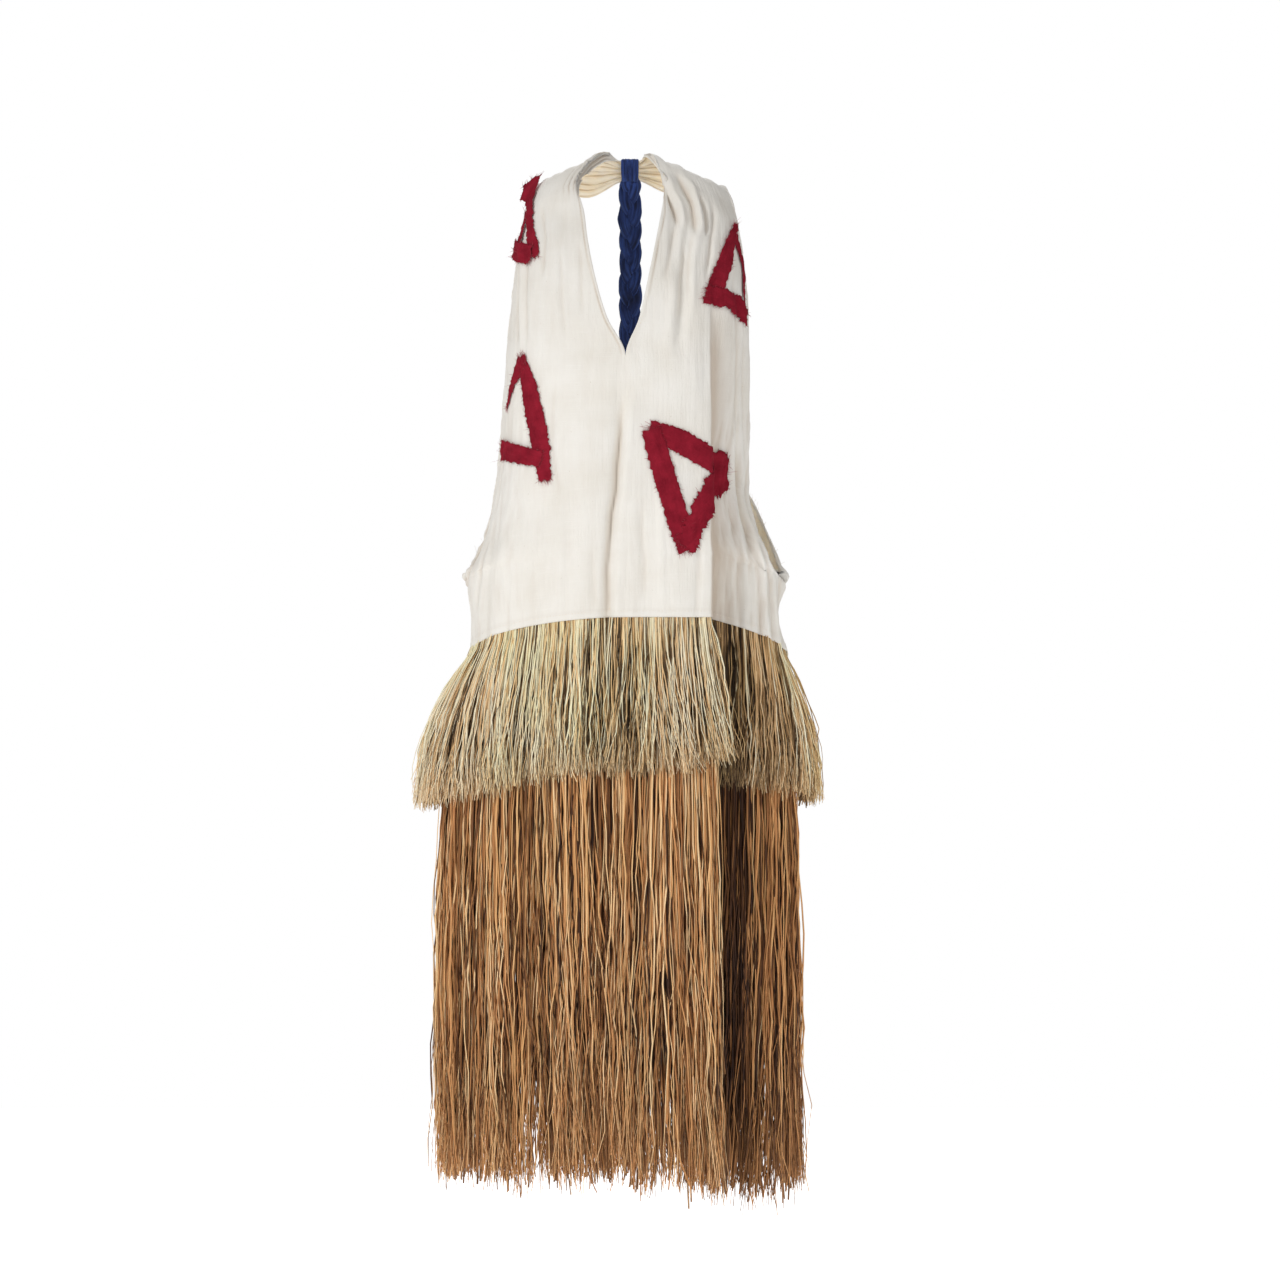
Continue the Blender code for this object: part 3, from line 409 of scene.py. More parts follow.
def makePiece(name, points, faces, materials, uv=None, flat=False):
    mesh = bpy.data.meshes.new(name)
    mesh.from_pydata((np.asarray(points, float) * mm).tolist(), [], faces)
    for material in materials:
        mesh.materials.append(material)
    if uv is not None:
        layer = mesh.uv_layers.new(name="cut")
        corners = np.zeros(len(mesh.loops), dtype=np.int64)
        mesh.loops.foreach_get("vertex_index", corners)
        layer.data.foreach_set("uv", (np.asarray(uv, float)[corners] * mm).ravel())
    if not flat:
        mesh.shade_smooth()
    piece = bpy.data.objects.new(name, mesh)
    bpy.context.scene.collection.objects.link(piece)
    return piece


def keepShape(piece):
    # Turns a piece's modifiers into plain mesh
    graph = bpy.context.evaluated_depsgraph_get()
    graph.update()
    mesh = bpy.data.meshes.new_from_object(piece.evaluated_get(graph), depsgraph=graph)
    old = piece.data
    piece.modifiers.clear()
    piece.data = mesh
    if old.users == 0:
        bpy.data.meshes.remove(old)
    mesh.name = piece.name
    return piece


def giveNumbers(piece, name, values):
    numbers = piece.data.attributes.new(name, "FLOAT", "POINT").data
    numbers.foreach_set("value", np.asarray(values, np.float32))


def giveWall(piece, thickness, direction=-1.0, inner=0):
    # Makes a sheet solid. inner is the place of its inside's finish among its finishes.
    wall = piece.modifiers.new("wall", "SOLIDIFY")
    wall.thickness, wall.offset = thickness * mm, direction
    wall.material_offset, wall.material_offset_rim = inner, inner
    keepShape(piece)
    piece.data.shade_smooth()


def fit(piece, slot, *nodes):
    # Every piece rides the root, which is the only body
    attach(piece, "root")
    if nodes:
        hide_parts(*nodes)


def gridFaces(rows, columns, flip=False, ring=False):
    # Faces between rows of points, which close round when they are rings
    faces = []
    for row in range(rows - 1):
        for column in range(columns if ring else columns - 1):
            after = (column + 1) % columns
            a, b = row * columns + column, row * columns + after
            face = (a, a + columns, b + columns, b)
            faces.append(face[::-1] if flip else face)
    return faces


def tube(name, rings, material, uv, flip):
    # Rings joined to a closed tube, with a point in the middle of each end
    rings = np.asarray(rings)
    count, around = rings.shape[:2]
    faces = gridFaces(count, around, flip, True)
    points = list(rings.reshape(-1, 3)) + [rings[0].mean(axis=0), rings[-1].mean(axis=0)]
    head, tail = count * around, count * around + 1
    for side in range(around):
        after = (side + 1) % around
        first = (head, side, after)
        last = (tail, (count - 1) * around + after, (count - 1) * around + side)
        faces += [first[::-1], last[::-1]] if flip else [first, last]
    uv = list(np.asarray(uv).reshape(-1, 2)) + [uv[0][0], uv[-1][0]]
    return makePiece(name, points, faces, [material], uv)


# Strands, in nodes

strandInputs = ("Wobble", "Waves", "Twist", "TipShare")


def strandTree(material, stations, flatness):
    # Roots with their reach and fall become bent, tapering strands with three sides
    tree = bpy.data.node_groups.new("strands", "GeometryNodeTree")
    sockets = [("Roots", "INPUT", "Geometry")] + [(name, "INPUT", "Float") for name in strandInputs]
    for name, way, kind in sockets + [("Strands", "OUTPUT", "Geometry")]:
        tree.interface.new_socket(name=name, in_out=way, socket_type="NodeSocket" + kind)
    board = Board(tree)

    def stored(name, kind="FLOAT"):
        return board.node("GeometryNodeInputNamedAttribute", {"Name": name}, data_type=kind)

    def store(shape, name, value, kind="FLOAT"):
        values = {"Geometry": shape, "Name": name, "Value": value}
        return board.node("GeometryNodeStoreNamedAttribute", values, data_type=kind)

    start = board.node("NodeGroupInput")
    wobble, waves, twist, tipShare = (start.beside(name) for name in strandInputs)
    roots = store(start, "root", board.node("GeometryNodeInputPosition"), "FLOAT_VECTOR")
    line = board.node("GeometryNodeCurvePrimitiveLine")
    line = board.node("GeometryNodeResampleCurve", {"Curve": line, "Count": stations}, mode="COUNT")
    made = board.node("GeometryNodeInstanceOnPoints", {"Points": roots, "Instance": line})
    made = board.node("GeometryNodeRealizeInstances", {"Geometry": made})
    run = board.node("GeometryNodeSplineParameter")
    delay, bend, phase, width = (stored(name) for name in ("delay", "bend", "phase", "width"))
    free = board.maths("MAXIMUM", run - delay) / (1.0 - delay)
    out = 1.0 - (1.0 - free) ** bend
    place = stored("root", "FLOAT_VECTOR")
    for name, share in (("reach", out), ("fall", run), ("sway", free * free)):
        place = board.vectors("ADD", place, board.times(stored(name, "FLOAT_VECTOR"), share))
    seat = board.node("ShaderNodeCombineXYZ", {0: phase * 61.0, 1: phase * 23.0, 2: run * waves})
    bends = board.vectors("SUBTRACT", board.noise(seat, 1.0, 3.0, 0.6).beside(1), (0.5, 0.5, 0.5))
    bends = board.vectors("MULTIPLY", bends, (1.0, 1.0, 0.25))
    place = board.vectors("ADD", place, board.times(bends, wobble * (free ** 0.7)))
    made = board.node("GeometryNodeSetPosition", {"Geometry": made, "Position": place})
    tilt = phase * 6.2832 + run * twist * (phase - 0.5) * 2.0
    made = board.node("GeometryNodeSetCurveTilt", {"Curve": made, "Tilt": tilt})
    made = store(made, "along", run)
    ring = board.node("GeometryNodeCurvePrimitiveCircle", {"Resolution": 3})
    ring = board.node("GeometryNodeTransform", {"Geometry": ring, "Scale": (1.0, flatness, 1.0)})
    taper = 1.0 - (1.0 - tipShare) * (run ** 2.5)
    made = board.node("GeometryNodeCurveToMesh", {"Curve": made, "Profile Curve": ring,
                                                  "Scale": width * taper, "Fill Caps": True})
    made = board.node("GeometryNodeRealizeInstances", {"Geometry": made})
    made = board.node("GeometryNodeSetMaterial", {"Geometry": made, "Material": material})
    board.feed(tree.nodes.new("NodeGroupOutput").inputs[0], made)
    return tree


def growStrands(name, tree, roots, *inputs):
    # roots holds arrays: root, reach, fall, sway and width in millimetres, delay as a share of
    # the strand, and bend, phase and tone
    mesh = bpy.data.meshes.new(name)
    mesh.from_pydata((roots["root"] * mm).tolist(), [], [])
    for key in ("reach", "fall", "sway"):
        mesh.attributes.new(key, "FLOAT_VECTOR", "POINT").data.foreach_set(
            "vector", (roots[key] * mm).astype(np.float32).ravel())
    scales = {"width": mm * 0.5, "delay": 1.0, "bend": 1.0, "phase": 1.0, "tone": 1.0}
    for key, scale in scales.items():
        mesh.attributes.new(key, "FLOAT", "POINT").data.foreach_set(
            "value", (roots[key] * scale).astype(np.float32))
    piece = bpy.data.objects.new(name, mesh)
    bpy.context.scene.collection.objects.link(piece)
    grow = piece.modifiers.new("strands", "NODES")
    grow.node_group = tree
    given = dict(zip(strandInputs, inputs))
    for item in tree.interface.items_tree:
        if item.in_out == "INPUT" and item.name in given:
            grow[item.identifier] = float(given[item.name])
    return keepShape(piece)


def growThreads(name, tree, rng, roots, reach, fall, waver, width, gain, bend, *inputs):
    count = len(roots)
    return growStrands(name, tree, {
        "root": roots, "reach": reach, "fall": fall, "sway": rng.normal(0, waver, (count, 3)),
        "width": rng.uniform(*width, count) * gain, "delay": np.zeros(count),
        "bend": np.full(count, bend), "phase": rng.uniform(0, 1, count),
        "tone": rng.uniform(0, 1, count)}, *inputs)


# The cotton front's form

strapColumns = ("cut", "neck", "lip", "inner", "outer", "edge")
strapPlaces = (0.0, 0.11, 0.36, 0.68, 1.0)
centreBack = ("centre back", (2, 0, 13), (2, 0, 10), (2, 0, 4), (2, 0, -4), (2, 0, -11))
leftStrap = (
    centreBack,
    ("loop mouth", (-12, -4, 14), (-12, -2, 15), (-13, 3, 7), (-13, 5, -3), (-12, 5, -14)),
    ("behind neck", (-29, -22, 12), (-26, -14, 26), (-38, 2, 13), (-50, 15, -8), (-57, 18, -34)),
    ("shoulder top", (-46, -50, 0), (-43, -38, 19), (-66, -30, 6), (-96, -24, -8), (-120, -16, -20)),
    ("shoulder front", (-60, -76, -14), (-58, -70, 1), (-82, -70, -6), (-108, -66, -17), (-130, -44, -28)),
    ("collar", (-68, -100, -32), (-70, -102, -25), (-90, -99, -31), (-117, -88, -40), (-136, -62, -50)),
)
rightStrap = (
    centreBack,
    ("loop mouth", (16, -4, 14), (16, -2, 14), (17, 3, 7), (17, 5, -2), (16, 5, -12)),
    ("behind neck", (22, -21, 18), (22, -14, 24), (38, 4, 11), (50, 15, -6), (58, 18, -28)),
    ("shoulder top", (33, -44, 10), (30, -36, 21), (58, -30, 9), (92, -24, -8), (124, -16, -22)),
    ("shoulder front", (45, -70, -8), (40, -66, 3), (72, -70, -6), (106, -66, -18), (136, -44, -32)),
    ("collar", (50, -97, -32), (48, -97, -26), (80, -98, -31), (113, -88, -40), (143, -62, -53)),
)
bodyColumns = ("level", "zFront", "zSide", "neckleft", "neckright", "halfleft", "halfright",
               "frontY", "sideY", "square")
bodyRows = (
    ("upper chest", -66, -86, -59, 45, 142, 149, -133, -74, 2.2),
    ("chest", -104, -118, -54, 38, 148, 154, -158, -80, 2.3),
    ("mid opening", -160, -170, -43, 27, 155, 160, -183, -84, 2.4),
    ("low opening", -214, -219, -27, 15, 160, 162, -195, -85, 2.5),
    ("opening tip", -265, -267, -3, -3, 164, 162, -201, -85, 2.6),
    ("waist", -335, -345, -3, -3, 170, 162, -204, -85, 2.6),
    ("below waist", -415, -436, -3, -3, 178, 164, -206, -82, 2.6),
    ("armhole low", -475, -510, -3, -3, 193, 186, -207, -80, 2.6),
    ("armhole turn", -503, -548, -3, -3, 208, 204, -207, -79, 2.6),
    ("armhole bottom", -520, -566, -3, -3, 215, 212, -207, -70, 2.6),
    ("seam top", -530, -572, -3, -3, 217, 215, -207, -58, 2.6),
    ("above hem", -571, -621, -3, -3, 215, 216, -206, -58, 2.6),
    ("hem", -612, -670, -3, -3, 214, 217, -205, -58, 2.6),
)
cut = {
    "middleX": -3.0, "hemDrop": 1.9, "levelHem": 0.38, "levelPower": 1.15,
    "foldAt": 115.0, "foldRadius": 6.5, "foldSample": 96,
    "foldDepths": ((-700, 52), (-560, 46), (-430, 34), (-290, 15), (-200, 3), (-120, 0)),
    "gathers": 5.0, "gatherHeight": 1.5, "gatherSwell": 0.9, "hemCalm": 0.45,
    "creaseGain": 2.6, "foldGain": 1.6, "pulledFrom": 0.74, "hemTurn": 9.5, "pleats": 9.0, "halvings": 16,
    "pulledEdge": {"below waist": (0, 3), "armhole low": (0, 22), "armhole turn": (0, 40),
                   "armhole bottom": (0, 28), "above hem": (4, 18)},
}
# Broad folds: girth and height at the top, girth and height at the foot, width and depth
broadFolds = (
    (-2, -262, -26, -640, 11, -3.4),
    (18, -300, -2, -650, 15, 2.0),
    (-44, -330, -66, -650, 16, 1.6),
    (60, -360, 66, -650, 18, 1.4),
    (-110, -420, -118, -660, 15, -1.8),
    (-192, -470, -215, -660, 12, -2.6),
    (-242, -520, -262, -680, 10, 2.0),
    (66, -22, 68, -150, 8, -3.6),
    (88, -34, 74, -230, 8, -3.4),
    (77, -60, 60, -240, 9, 2.2),
    (120, -110, 112, -300, 12, -1.8),
    (186, -150, 230, -600, 9, -3.0),
    (206, -190, 262, -620, 9, 2.6),
    (-80, -50, -72, -190, 14, -1.6),
)
# Creases placed one by one: width, depth, and (girth, height) down the cloth
creases = (
    (4.2, -3.3, ((-3, -329), (-13, -427), (-20, -499), (-26, -543), (-24, -620))),
    (6.0, 1.6, ((10, -324), (-2, -430), (-9, -500), (-13, -620))),
    (4.0, -0.9, ((23, -459), (25, -579))),
    (4.0, -0.8, ((-45, -523), (-43, -595))),
    (3.2, -1.3, ((-167, -132), (-162, -241))),
    (3.6, -1.1, ((-145, -129), (-143, -238))),
    (4.0, 1.0, ((-156, -120), (-152, -250))),
    (3.4, -2.9, ((63, -5), (58, -35), (70, -79))),
    (3.8, -2.8, ((84, -12), (86, -35), (92, -54), (96, -92))),
    (3.4, -2.2, ((106, -41), (111, -67), (112, -96))),
    (4.6, 1.8, ((73, -12), (72, -40), (80, -84))),
    (4.6, 1.6, ((96, -18), (99, -48), (104, -90))),
    (3.4, -1.6, ((124, -52), (121, -92), (110, -150))),
    (3.6, -1.3, ((69, -84), (58, -131), (53, -156))),
    (3.6, -1.4, ((80, -106), (74, -175), (70, -214))),
    (3.4, -1.1, ((93, -96), (84, -136), (84, -180))),
    (4.5, 1.0, ((101, -84), (92, -140), (90, -205))),
    (4.2, -1.6, ((157, -162), (189, -320), (217, -428))),
    (4.0, -1.3, ((187, -212), (230, -427))),
    (5.0, 1.2, ((172, -170), (208, -330), (226, -430))),
    (3.4, -1.3, ((-118, -60), (-112, -100), (-116, -150))),
    (3.8, -1.2, ((-179, -588), (-144, -536))),
    (3.8, -2.0, ((208, -400), (226, -500), (246, -590), (250, -640))),
    (3.6, -1.9, ((192, -440), (204, -520), (218, -640))),
    (3.6, 1.6, ((200, -420), (216, -520), (232, -640))),
    (3.6, 1.5, ((222, -440), (240, -520), (262, -640))),
    (3.4, -1.8, ((236, -500), (262, -570), (276, -645))),
    (3.2, -1.5, ((180, -470), (190, -560), (198, -640))),
    (3.4, 1.3, ((262, -540), (276, -590), (292, -650))),
    (3.6, -1.4, ((286, -560), (300, -610), (308, -650))),
    (4.0, -1.0, ((-210, -500), (-232, -600))),
    (3.6, -0.9, ((-96, -300), (-100, -380), (-92, -440))),
    (4.6, 0.8, ((-84, -440), (-88, -600))),
    (4.2, -0.8, ((-128, -300), (-140, -420))),
    (4.4, -0.9, ((100, -470), (98, -610))),
    (5.0, 0.8, ((46, -420), (52, -600))),
    (3.6, -0.9, ((-62, -110), (-58, -200))),
    (3.6, -0.8, ((-90, -120), (-84, -230))),
    (4.2, -0.9, ((-186, -360), (-206, -470))),
)


sectionNames = [row[0] for row in leftStrap + bodyRows]


def quarterOblong(half, depth, square):
    angle = np.linspace(0.0, math.pi / 2, 721)
    return half * np.sin(angle) ** (2.0 / square), depth * np.cos(angle) ** (2.0 / square)


def strapSection(row, shares):
    points = np.array([row[column] for column in strapColumns[1:]], float)
    return spline(np.array(strapPlaces), points, shares)


def bodySection(row, side, shares):
    # Half of a level of the body: a squared oval from the neck edge or the middle to the side
    sign = -1.0 if side == "left" else 1.0
    neck = row["neck" + side] * sign
    across, forward = quarterOblong(row["half" + side], row["sideY"] - row["frontY"], row["square"])
    keep = across > neck
    firstForward = np.interp(neck, across, forward)
    across = np.concatenate([[neck], across[keep]])
    forward = np.concatenate([[firstForward], forward[keep]])
    run = summed(np.hypot(np.diff(across), np.diff(forward)))
    x = np.interp(shares * run[-1], run, across) * sign
    y = row["sideY"] - np.interp(shares * run[-1], run, forward)
    level, power = (0.0, cut["hemDrop"]) if side == "left" else (cut["levelHem"], cut["levelPower"])
    drop = np.clip((shares - level) / (1.0 - level), 0.0, 1.0) ** power
    z = row["zFront"] + (row["zSide"] - row["zFront"]) * drop
    pulled = cut["pulledEdge"].get(row["level"], (0, 0))[side == "right"]
    x -= sign * pulled * smooth((shares - cut["pulledFrom"]) / 0.26)
    return np.stack([x, y, z], axis=-1)


def frontSections(side, shares):
    straps = leftStrap if side == "left" else rightStrap
    sections = [strapSection(dict(zip(strapColumns, row)), shares) for row in straps]
    sections += [bodySection(dict(zip(bodyColumns, row)), side, shares) for row in bodyRows]
    return np.array(sections)


def frontKnots():
    shares = np.linspace(0.0, 1.0, 11)
    both = np.concatenate([frontSections(side, shares) for side in ("left", "right")], axis=1)
    gaps = np.linalg.norm(np.diff(both, axis=0), axis=2).mean(axis=1)
    return summed(gaps)


class FrontHalf:
    # Half of the front. A level runs down it from the centre back and a girth round it.
    def __init__(self, side):
        self.side, self.sign = side, -1.0 if side == "left" else 1.0
        self.knots = frontKnots()
        self.shares = np.linspace(0.0, 1.0, 241)
        self.sections = frontSections(side, self.shares)
        self.lengths = np.linalg.norm(np.diff(self.sections, axis=1), axis=2).sum(axis=1)
        column = bodyColumns.index("neck" + side)
        starts = [abs(row[column] - cut["middleX"]) for row in bodyRows]
        self.starts = np.array([starts[0]] * len(leftStrap) + starts, float)
        self.tip, self.seamTop, self.hem = (self.at(name) for name in ("opening tip", "seam top", "hem"))

    def at(self, name):
        return self.knots[sectionNames.index(name)]

    def base(self, share, level):
        place = np.clip(share, 0.0, 1.0) * (len(self.shares) - 1)
        lower = np.minimum(place.astype(int), len(self.shares) - 2)
        part = (place - lower)[None, :, None]
        columns = self.sections[:, lower] * (1 - part) + self.sections[:, lower + 1] * part
        return spline(self.knots, columns, level)

    def start(self, level):
        return np.interp(level, self.knots, self.starts)

    def length(self, level):
        return np.interp(level, self.knots, self.lengths)

    def foldPath(self, level):
        # The deep fold is two arcs with a straight stretch between them
        radius = cut["foldRadius"]
        if self.side == "left":
            depth = np.zeros(np.shape(level))
        else:
            z = np.interp(level, self.knots, self.sections[:, cut["foldSample"], 2])
            depth = reading(cut["foldDepths"], z)
            depth = np.where(level > self.at("upper chest"), depth, 0.0)
        turn = np.arccos(np.clip(1.0 - depth / (2 * radius), 0.0, 1.0))
        straight = np.maximum(depth - 2 * radius, 0.0)
        taken = 2 * radius * np.sin(turn)
        return depth, turn, straight, taken, 2 * radius * turn + straight

    def end(self, level):
        taken, path = self.foldPath(level)[3:]
        return self.start(level) + self.length(level) + path - taken

    def folded(self, girth, level):
        depth, turn, straight, taken, path = self.foldPath(level)
        start, length = self.start(level), self.length(level)
        foldAt, radius = cut["foldAt"], cut["foldRadius"]
        if self.side == "left":
            return self.base((girth - start) / length, level)
        along = girth - foldAt
        past = along > path
        baseGirth = np.where(past, girth - path + taken, np.minimum(girth, foldAt))
        points = self.base((baseGirth - start) / length, level)
        root = self.base((foldAt - start) / length, level)
        forward = flattened(self.base((foldAt + 2.0 - start) / length, level) - root)
        inward = aside(forward)
        first = radius * turn
        second = along > first + straight
        arcRun = np.where(second, path - along, np.minimum(along, first))
        angle = np.clip(arcRun / radius, 0.0, turn)
        rise = radius * (1.0 - np.cos(angle))
        reach = radius * np.sin(angle)
        rise = np.where(second, depth - rise, rise + np.clip(along - first, 0.0, straight))
        reach = np.where(second, taken - reach, reach)
        onPath = root + forward * reach[:, None] + inward * rise[:, None]
        rest = np.maximum(start + length - foldAt - taken, 1.0)
        part = np.clip((baseGirth - foldAt - taken) / rest, 0.0, 1.0)
        beyond = points + inward * (depth * (0.5 + 0.5 * np.cos(math.pi * part)))[:, None]
        return np.where((along < 0)[:, None], points, np.where(past[:, None], beyond, onPath))

    def relief(self, girth, level, z):
        # How far the cloth stands off its form, and how much painted shade its colour takes in creases,
        # folds, pleats and hollows
        height, paintedShade = np.zeros(len(girth)), np.zeros(len(girth))
        signed = girth * self.sign
        inFront = level > self.at("shoulder front")
        for girthTop, zTop, girthLow, zLow, width, depth in broadFolds:
            run = (zTop - z) / (zTop - zLow)
            centre = girthTop + (girthLow - girthTop) * run
            height += cut["foldGain"] * depth * bell(signed, centre, width) \
                * smooth(run * 4.0) * smooth((1.25 - run) * 3.0) * inFront
        height *= 1.0 - cut["hemCalm"] * rises(level, self.seamTop, self.hem - self.seamTop)
        loop, collar = self.at("loop mouth"), self.at("collar")
        run = np.clip((level - loop) / (collar - loop), 0.0, 1.0)
        swell = cut["gatherHeight"] * (1.0 + cut["gatherSwell"] * np.sin(math.pi * run)) \
            * (1.0 - smooth(run))
        share = (girth - self.start(level)) / (self.end(level) - self.start(level))
        height += swell * np.cos(fullTurn * cut["gathers"] * share)
        for width, depth, way in creases:
            way = np.array(way, float)
            down = -way[:, 1]
            wander = 1.6 * rumple(-z / 34.0, np.full(len(z), width), 3.0)
            across = (signed - np.interp(-z, down, way[:, 0]) - wander) / width
            fade = min(max(0.3 * (down[-1] - down[0]), 14.0), 70.0)
            ends = smooth((-z - down[0]) / fade + 0.3) * smooth((down[-1] + z) / fade + 0.5) * inFront
            height += cut["creaseGain"] * depth * np.exp(-across ** 2) * ends
            # Painted shade along each crease
            paintedShade -= 0.27 * depth * np.exp(-(1.5 * across) ** 2) * ends
        if self.side == "right":  # shade in the deep fold and beside it
            path = self.foldPath(level)[-1]
            past = girth - cut["foldAt"]
            beside = rises(past, 1.0, 5.0) * np.exp(-np.maximum(past - path, 0.0) / 15.0)
            paintedShade += 1.5 * beside * smooth(path / 30.0)
        # Pleats pinched under the loop, with painted shade in their grooves
        wander = 0.5 * rumple(share * 5.0, level / 60.0, 8.0)
        pleat = np.abs(np.sin(math.pi * (cut["pleats"] * share + wander)))
        pinch = rises(level, 6.0, 14.0) * fades(level, 70.0, 70.0)
        height += 2.0 * (0.6 - pleat) * pinch
        paintedShade -= 1.1 * (1.0 - pleat) ** 2.5 * pinch
        # Narrow folded layers of the left collar, with painted shade lines between them
        fromNeck = girth - self.start(level)
        if self.side == "left":
            layer = np.minimum(fromNeck, 14.0) / 3.3 + np.maximum(fromNeck - 14.0, 0.0) / 8.0
            layer = (layer + 0.6 * rumple(level / 34.0, level * 0, 5.0)) % 1.0
            near = fades(fromNeck, 20.0, 16.0) * rises(level, 30.0, 25.0) * fades(level, 160.0, 40.0)
            height += 5.0 * (layer - 0.5) * near
            paintedShade += 2.0 * bell(layer, 0.10, 0.17) * near
        # Turned edge of the opening, and the hem, each with a line of painted shade beside its turn
        opening = rises(level, 40.0, 20.0) * fades(level - self.tip, -2.0, 3.0)
        height += 0.8 * fades(fromNeck, 3.6, 1.0) * opening
        paintedShade += 0.9 * bell(fromNeck, 4.8, 0.9) * opening
        fromHem = self.hem - level
        height += 0.5 * fades(fromHem, cut["hemTurn"], 1.2) - 0.5 * bell(fromHem, 8.8, 0.9)
        paintedShade += 0.35 * bell(fromHem, 10.2, 1.0)
        # Crinkles, strongest at the sides and in the recess past the deep fold, with painted shade in their
        # hollows
        sides = 0.35 + 0.65 * rises(girth, 110.0, 70.0)
        if self.side == "right":
            sides = sides + 1.5 * rises(girth, 150.0, 30.0) * rises(level, self.tip, 120.0)
        amount = 1.15 * np.where(inFront, sides, 1.0) * smooth(level / 14.0)
        crinkle = 0.55 * rumple(signed / 7.5, level / 46.0, 11.0) \
            + 0.34 * rumple(signed / 3.6 + level / 90.0, level / 26.0, 12.0)
        height += amount * crinkle
        paintedShade += np.clip(-0.34 * amount * crinkle, 0.0, 0.45)
        height += 0.50 * rumple(signed / 24.0, level / 70.0, 13.0) * smooth(level / 14.0)
        height += 1.1 * rumple(signed / 10.0, level * 0, 14.0) * np.exp(-fromHem / 22.0)
        return height, np.clip(paintedShade, -1.0, 1.0)

    def girthAt(self, share, level):
        return self.start(level) + share * (self.end(level) - self.start(level))

    def surface(self, girth, level):
        girth = np.asarray(girth, float)
        level = np.broadcast_to(np.asarray(level, float), girth.shape)
        points = self.folded(girth, level)
        step = 0.8
        start, end = self.start(level), self.end(level)
        share = (girth - start) / (end - start)
        left = self.folded(np.clip(girth - step, start, end), level)
        right = self.folded(np.clip(girth + step, start, end), level)
        above = np.clip(level - step, 0.0, self.hem)
        below = np.clip(level + step, 0.0, self.hem)
        upper = self.folded(self.girthAt(share, above), above)
        lower = self.folded(self.girthAt(share, below), below)
        normals = unit(np.cross(right - left, lower - upper) * -self.sign)
        return points + normals * self.relief(girth, level, points[:, 2])[0][:, None], normals

    def levelAt(self, girth, z):
        # The level on which the cloth passes the height z, that far round
        top = np.full(len(girth), self.at("shoulder top"))
        foot = np.full(len(girth), self.hem)
        for _ in range(cut["halvings"]):
            middle = (top + foot) / 2
            inside = np.clip(girth, self.start(middle), self.end(middle))
            higher = self.folded(inside, middle)[:, 2] > z
            top, foot = np.where(higher, middle, top), np.where(higher, foot, middle)
        return (top + foot) / 2


halves = {"left": FrontHalf("left"), "right": FrontHalf("right")}
frontCloth = {"upperRows": 116, "lowerRows": 100, "left": 82, "right": 94, "wall": 1.1}


def columnGirths(half, level, count):
    start, end = float(half.start(level)), float(half.end(level))
    share = np.linspace(0.0, 1.0, count)
    crowded = fades(level, 140.0, 90.0)
    even = start + (share * (1 - crowded) + share ** 1.7 * crowded) * (end - start)
    if half.side == "left":
        return even
    turn, straight = half.foldPath(np.array(level))[1:3]
    bend = max(cut["foldRadius"] * float(turn), 4.5)
    flat = max(float(straight), 1.5)
    at = cut["foldAt"]
    # Columns crowd together where the cloth bends in the deep fold
    marks = list(np.linspace(start, at - 3.0, 31))
    marks += list(at + bend * np.linspace(0.0, 1.0, 6))
    marks += list(at + bend + flat * np.linspace(0.0, 1.0, 9)[1:-1])
    marks += list(at + bend + flat + bend * np.linspace(0.0, 1.0, 6))
    marks += list(np.linspace(marks[-1], end, count - len(marks) + 1)[1:])
    blend = rises(level, half.at("upper chest"), 90.0)
    return even * (1 - blend) + np.array(marks) * blend


def buildFront():
    look = frontCloth
    tip, hem = halves["left"].tip, halves["left"].hem
    levels = np.concatenate([np.linspace(0.0, tip, look["upperRows"]),
                             np.linspace(tip, hem, look["lowerRows"])[1:]])
    points, uv, paintedShades, index = [], [], [], {}
    for side, half in halves.items():
        count = look[side]
        girths = np.array([columnGirths(half, level, count) for level in levels])
        spread = np.repeat(levels, count)
        found, _ = half.surface(girths.ravel(), spread)
        paintedShade = half.relief(girths.ravel(), spread, found[:, 2])[1]
        ids = np.zeros((len(levels), count), int)
        for row, level in enumerate(levels):
            for column in range(count):
                shared = side == "right" and column == 0 and row >= look["upperRows"] - 1
                ids[row, column] = index["left"][row, 0] if shared else len(points)
                if not shared:
                    points.append(found[row * count + column])
                    paintedShades.append(paintedShade[row * count + column])
                    uv.append((girths[row, column] * half.sign, -level))
        index[side] = ids
    faces = []
    for side, ids in index.items():
        for row in range(len(levels) - 1):
            for column in range(look[side] - 1):
                face = (ids[row, column], ids[row + 1, column],
                        ids[row + 1, column + 1], ids[row, column + 1])
                faces.append(face if side == "right" else face[::-1])
    front = makePiece("cottonFront", points, faces, [cotton, cottonInside], uv)
    # The painted shade is handed to the finish as the crease numbers
    giveNumbers(front, "crease", paintedShades)
    giveWall(front, look["wall"], inner=1)
    fit(front, "cotton", "front")
    print("cotton front", len(front.data.polygons))


buildFront()


# The cotton back

backTopRows = (
    (0.00, 2, 41, -300), (0.12, 24, 42, -304), (0.30, 62, 43, -336), (0.48, 110, 34, -384),
    (0.64, 160, 8, -434), (0.78, 190, -18, -494), (0.88, 205, -34, -536), (0.95, 212, -46, -561),
    (1.00, 215, -57.2, -572),
)
backCut = {
    "leftWider": 219.0 / 213.0, "halfleft": 214, "halfright": 217, "hemY": 82.0, "hemZ": -668.0,
    "square": 2.3, "seat": 9.0, "crowding": 0.6, "gathers": 4.0, "gatherHeight": 3.0, "creaseGain": 2.0,
    "folds": ((-0.62, 2.4), (-0.30, -2.2), (0.08, 2.4), (0.36, -2.4), (0.66, 2.2)),
    "foldWidth": 0.11, "columns": 124, "rows": 90, "wall": 1.1, "long": 300.0, "half": 235.0,
}
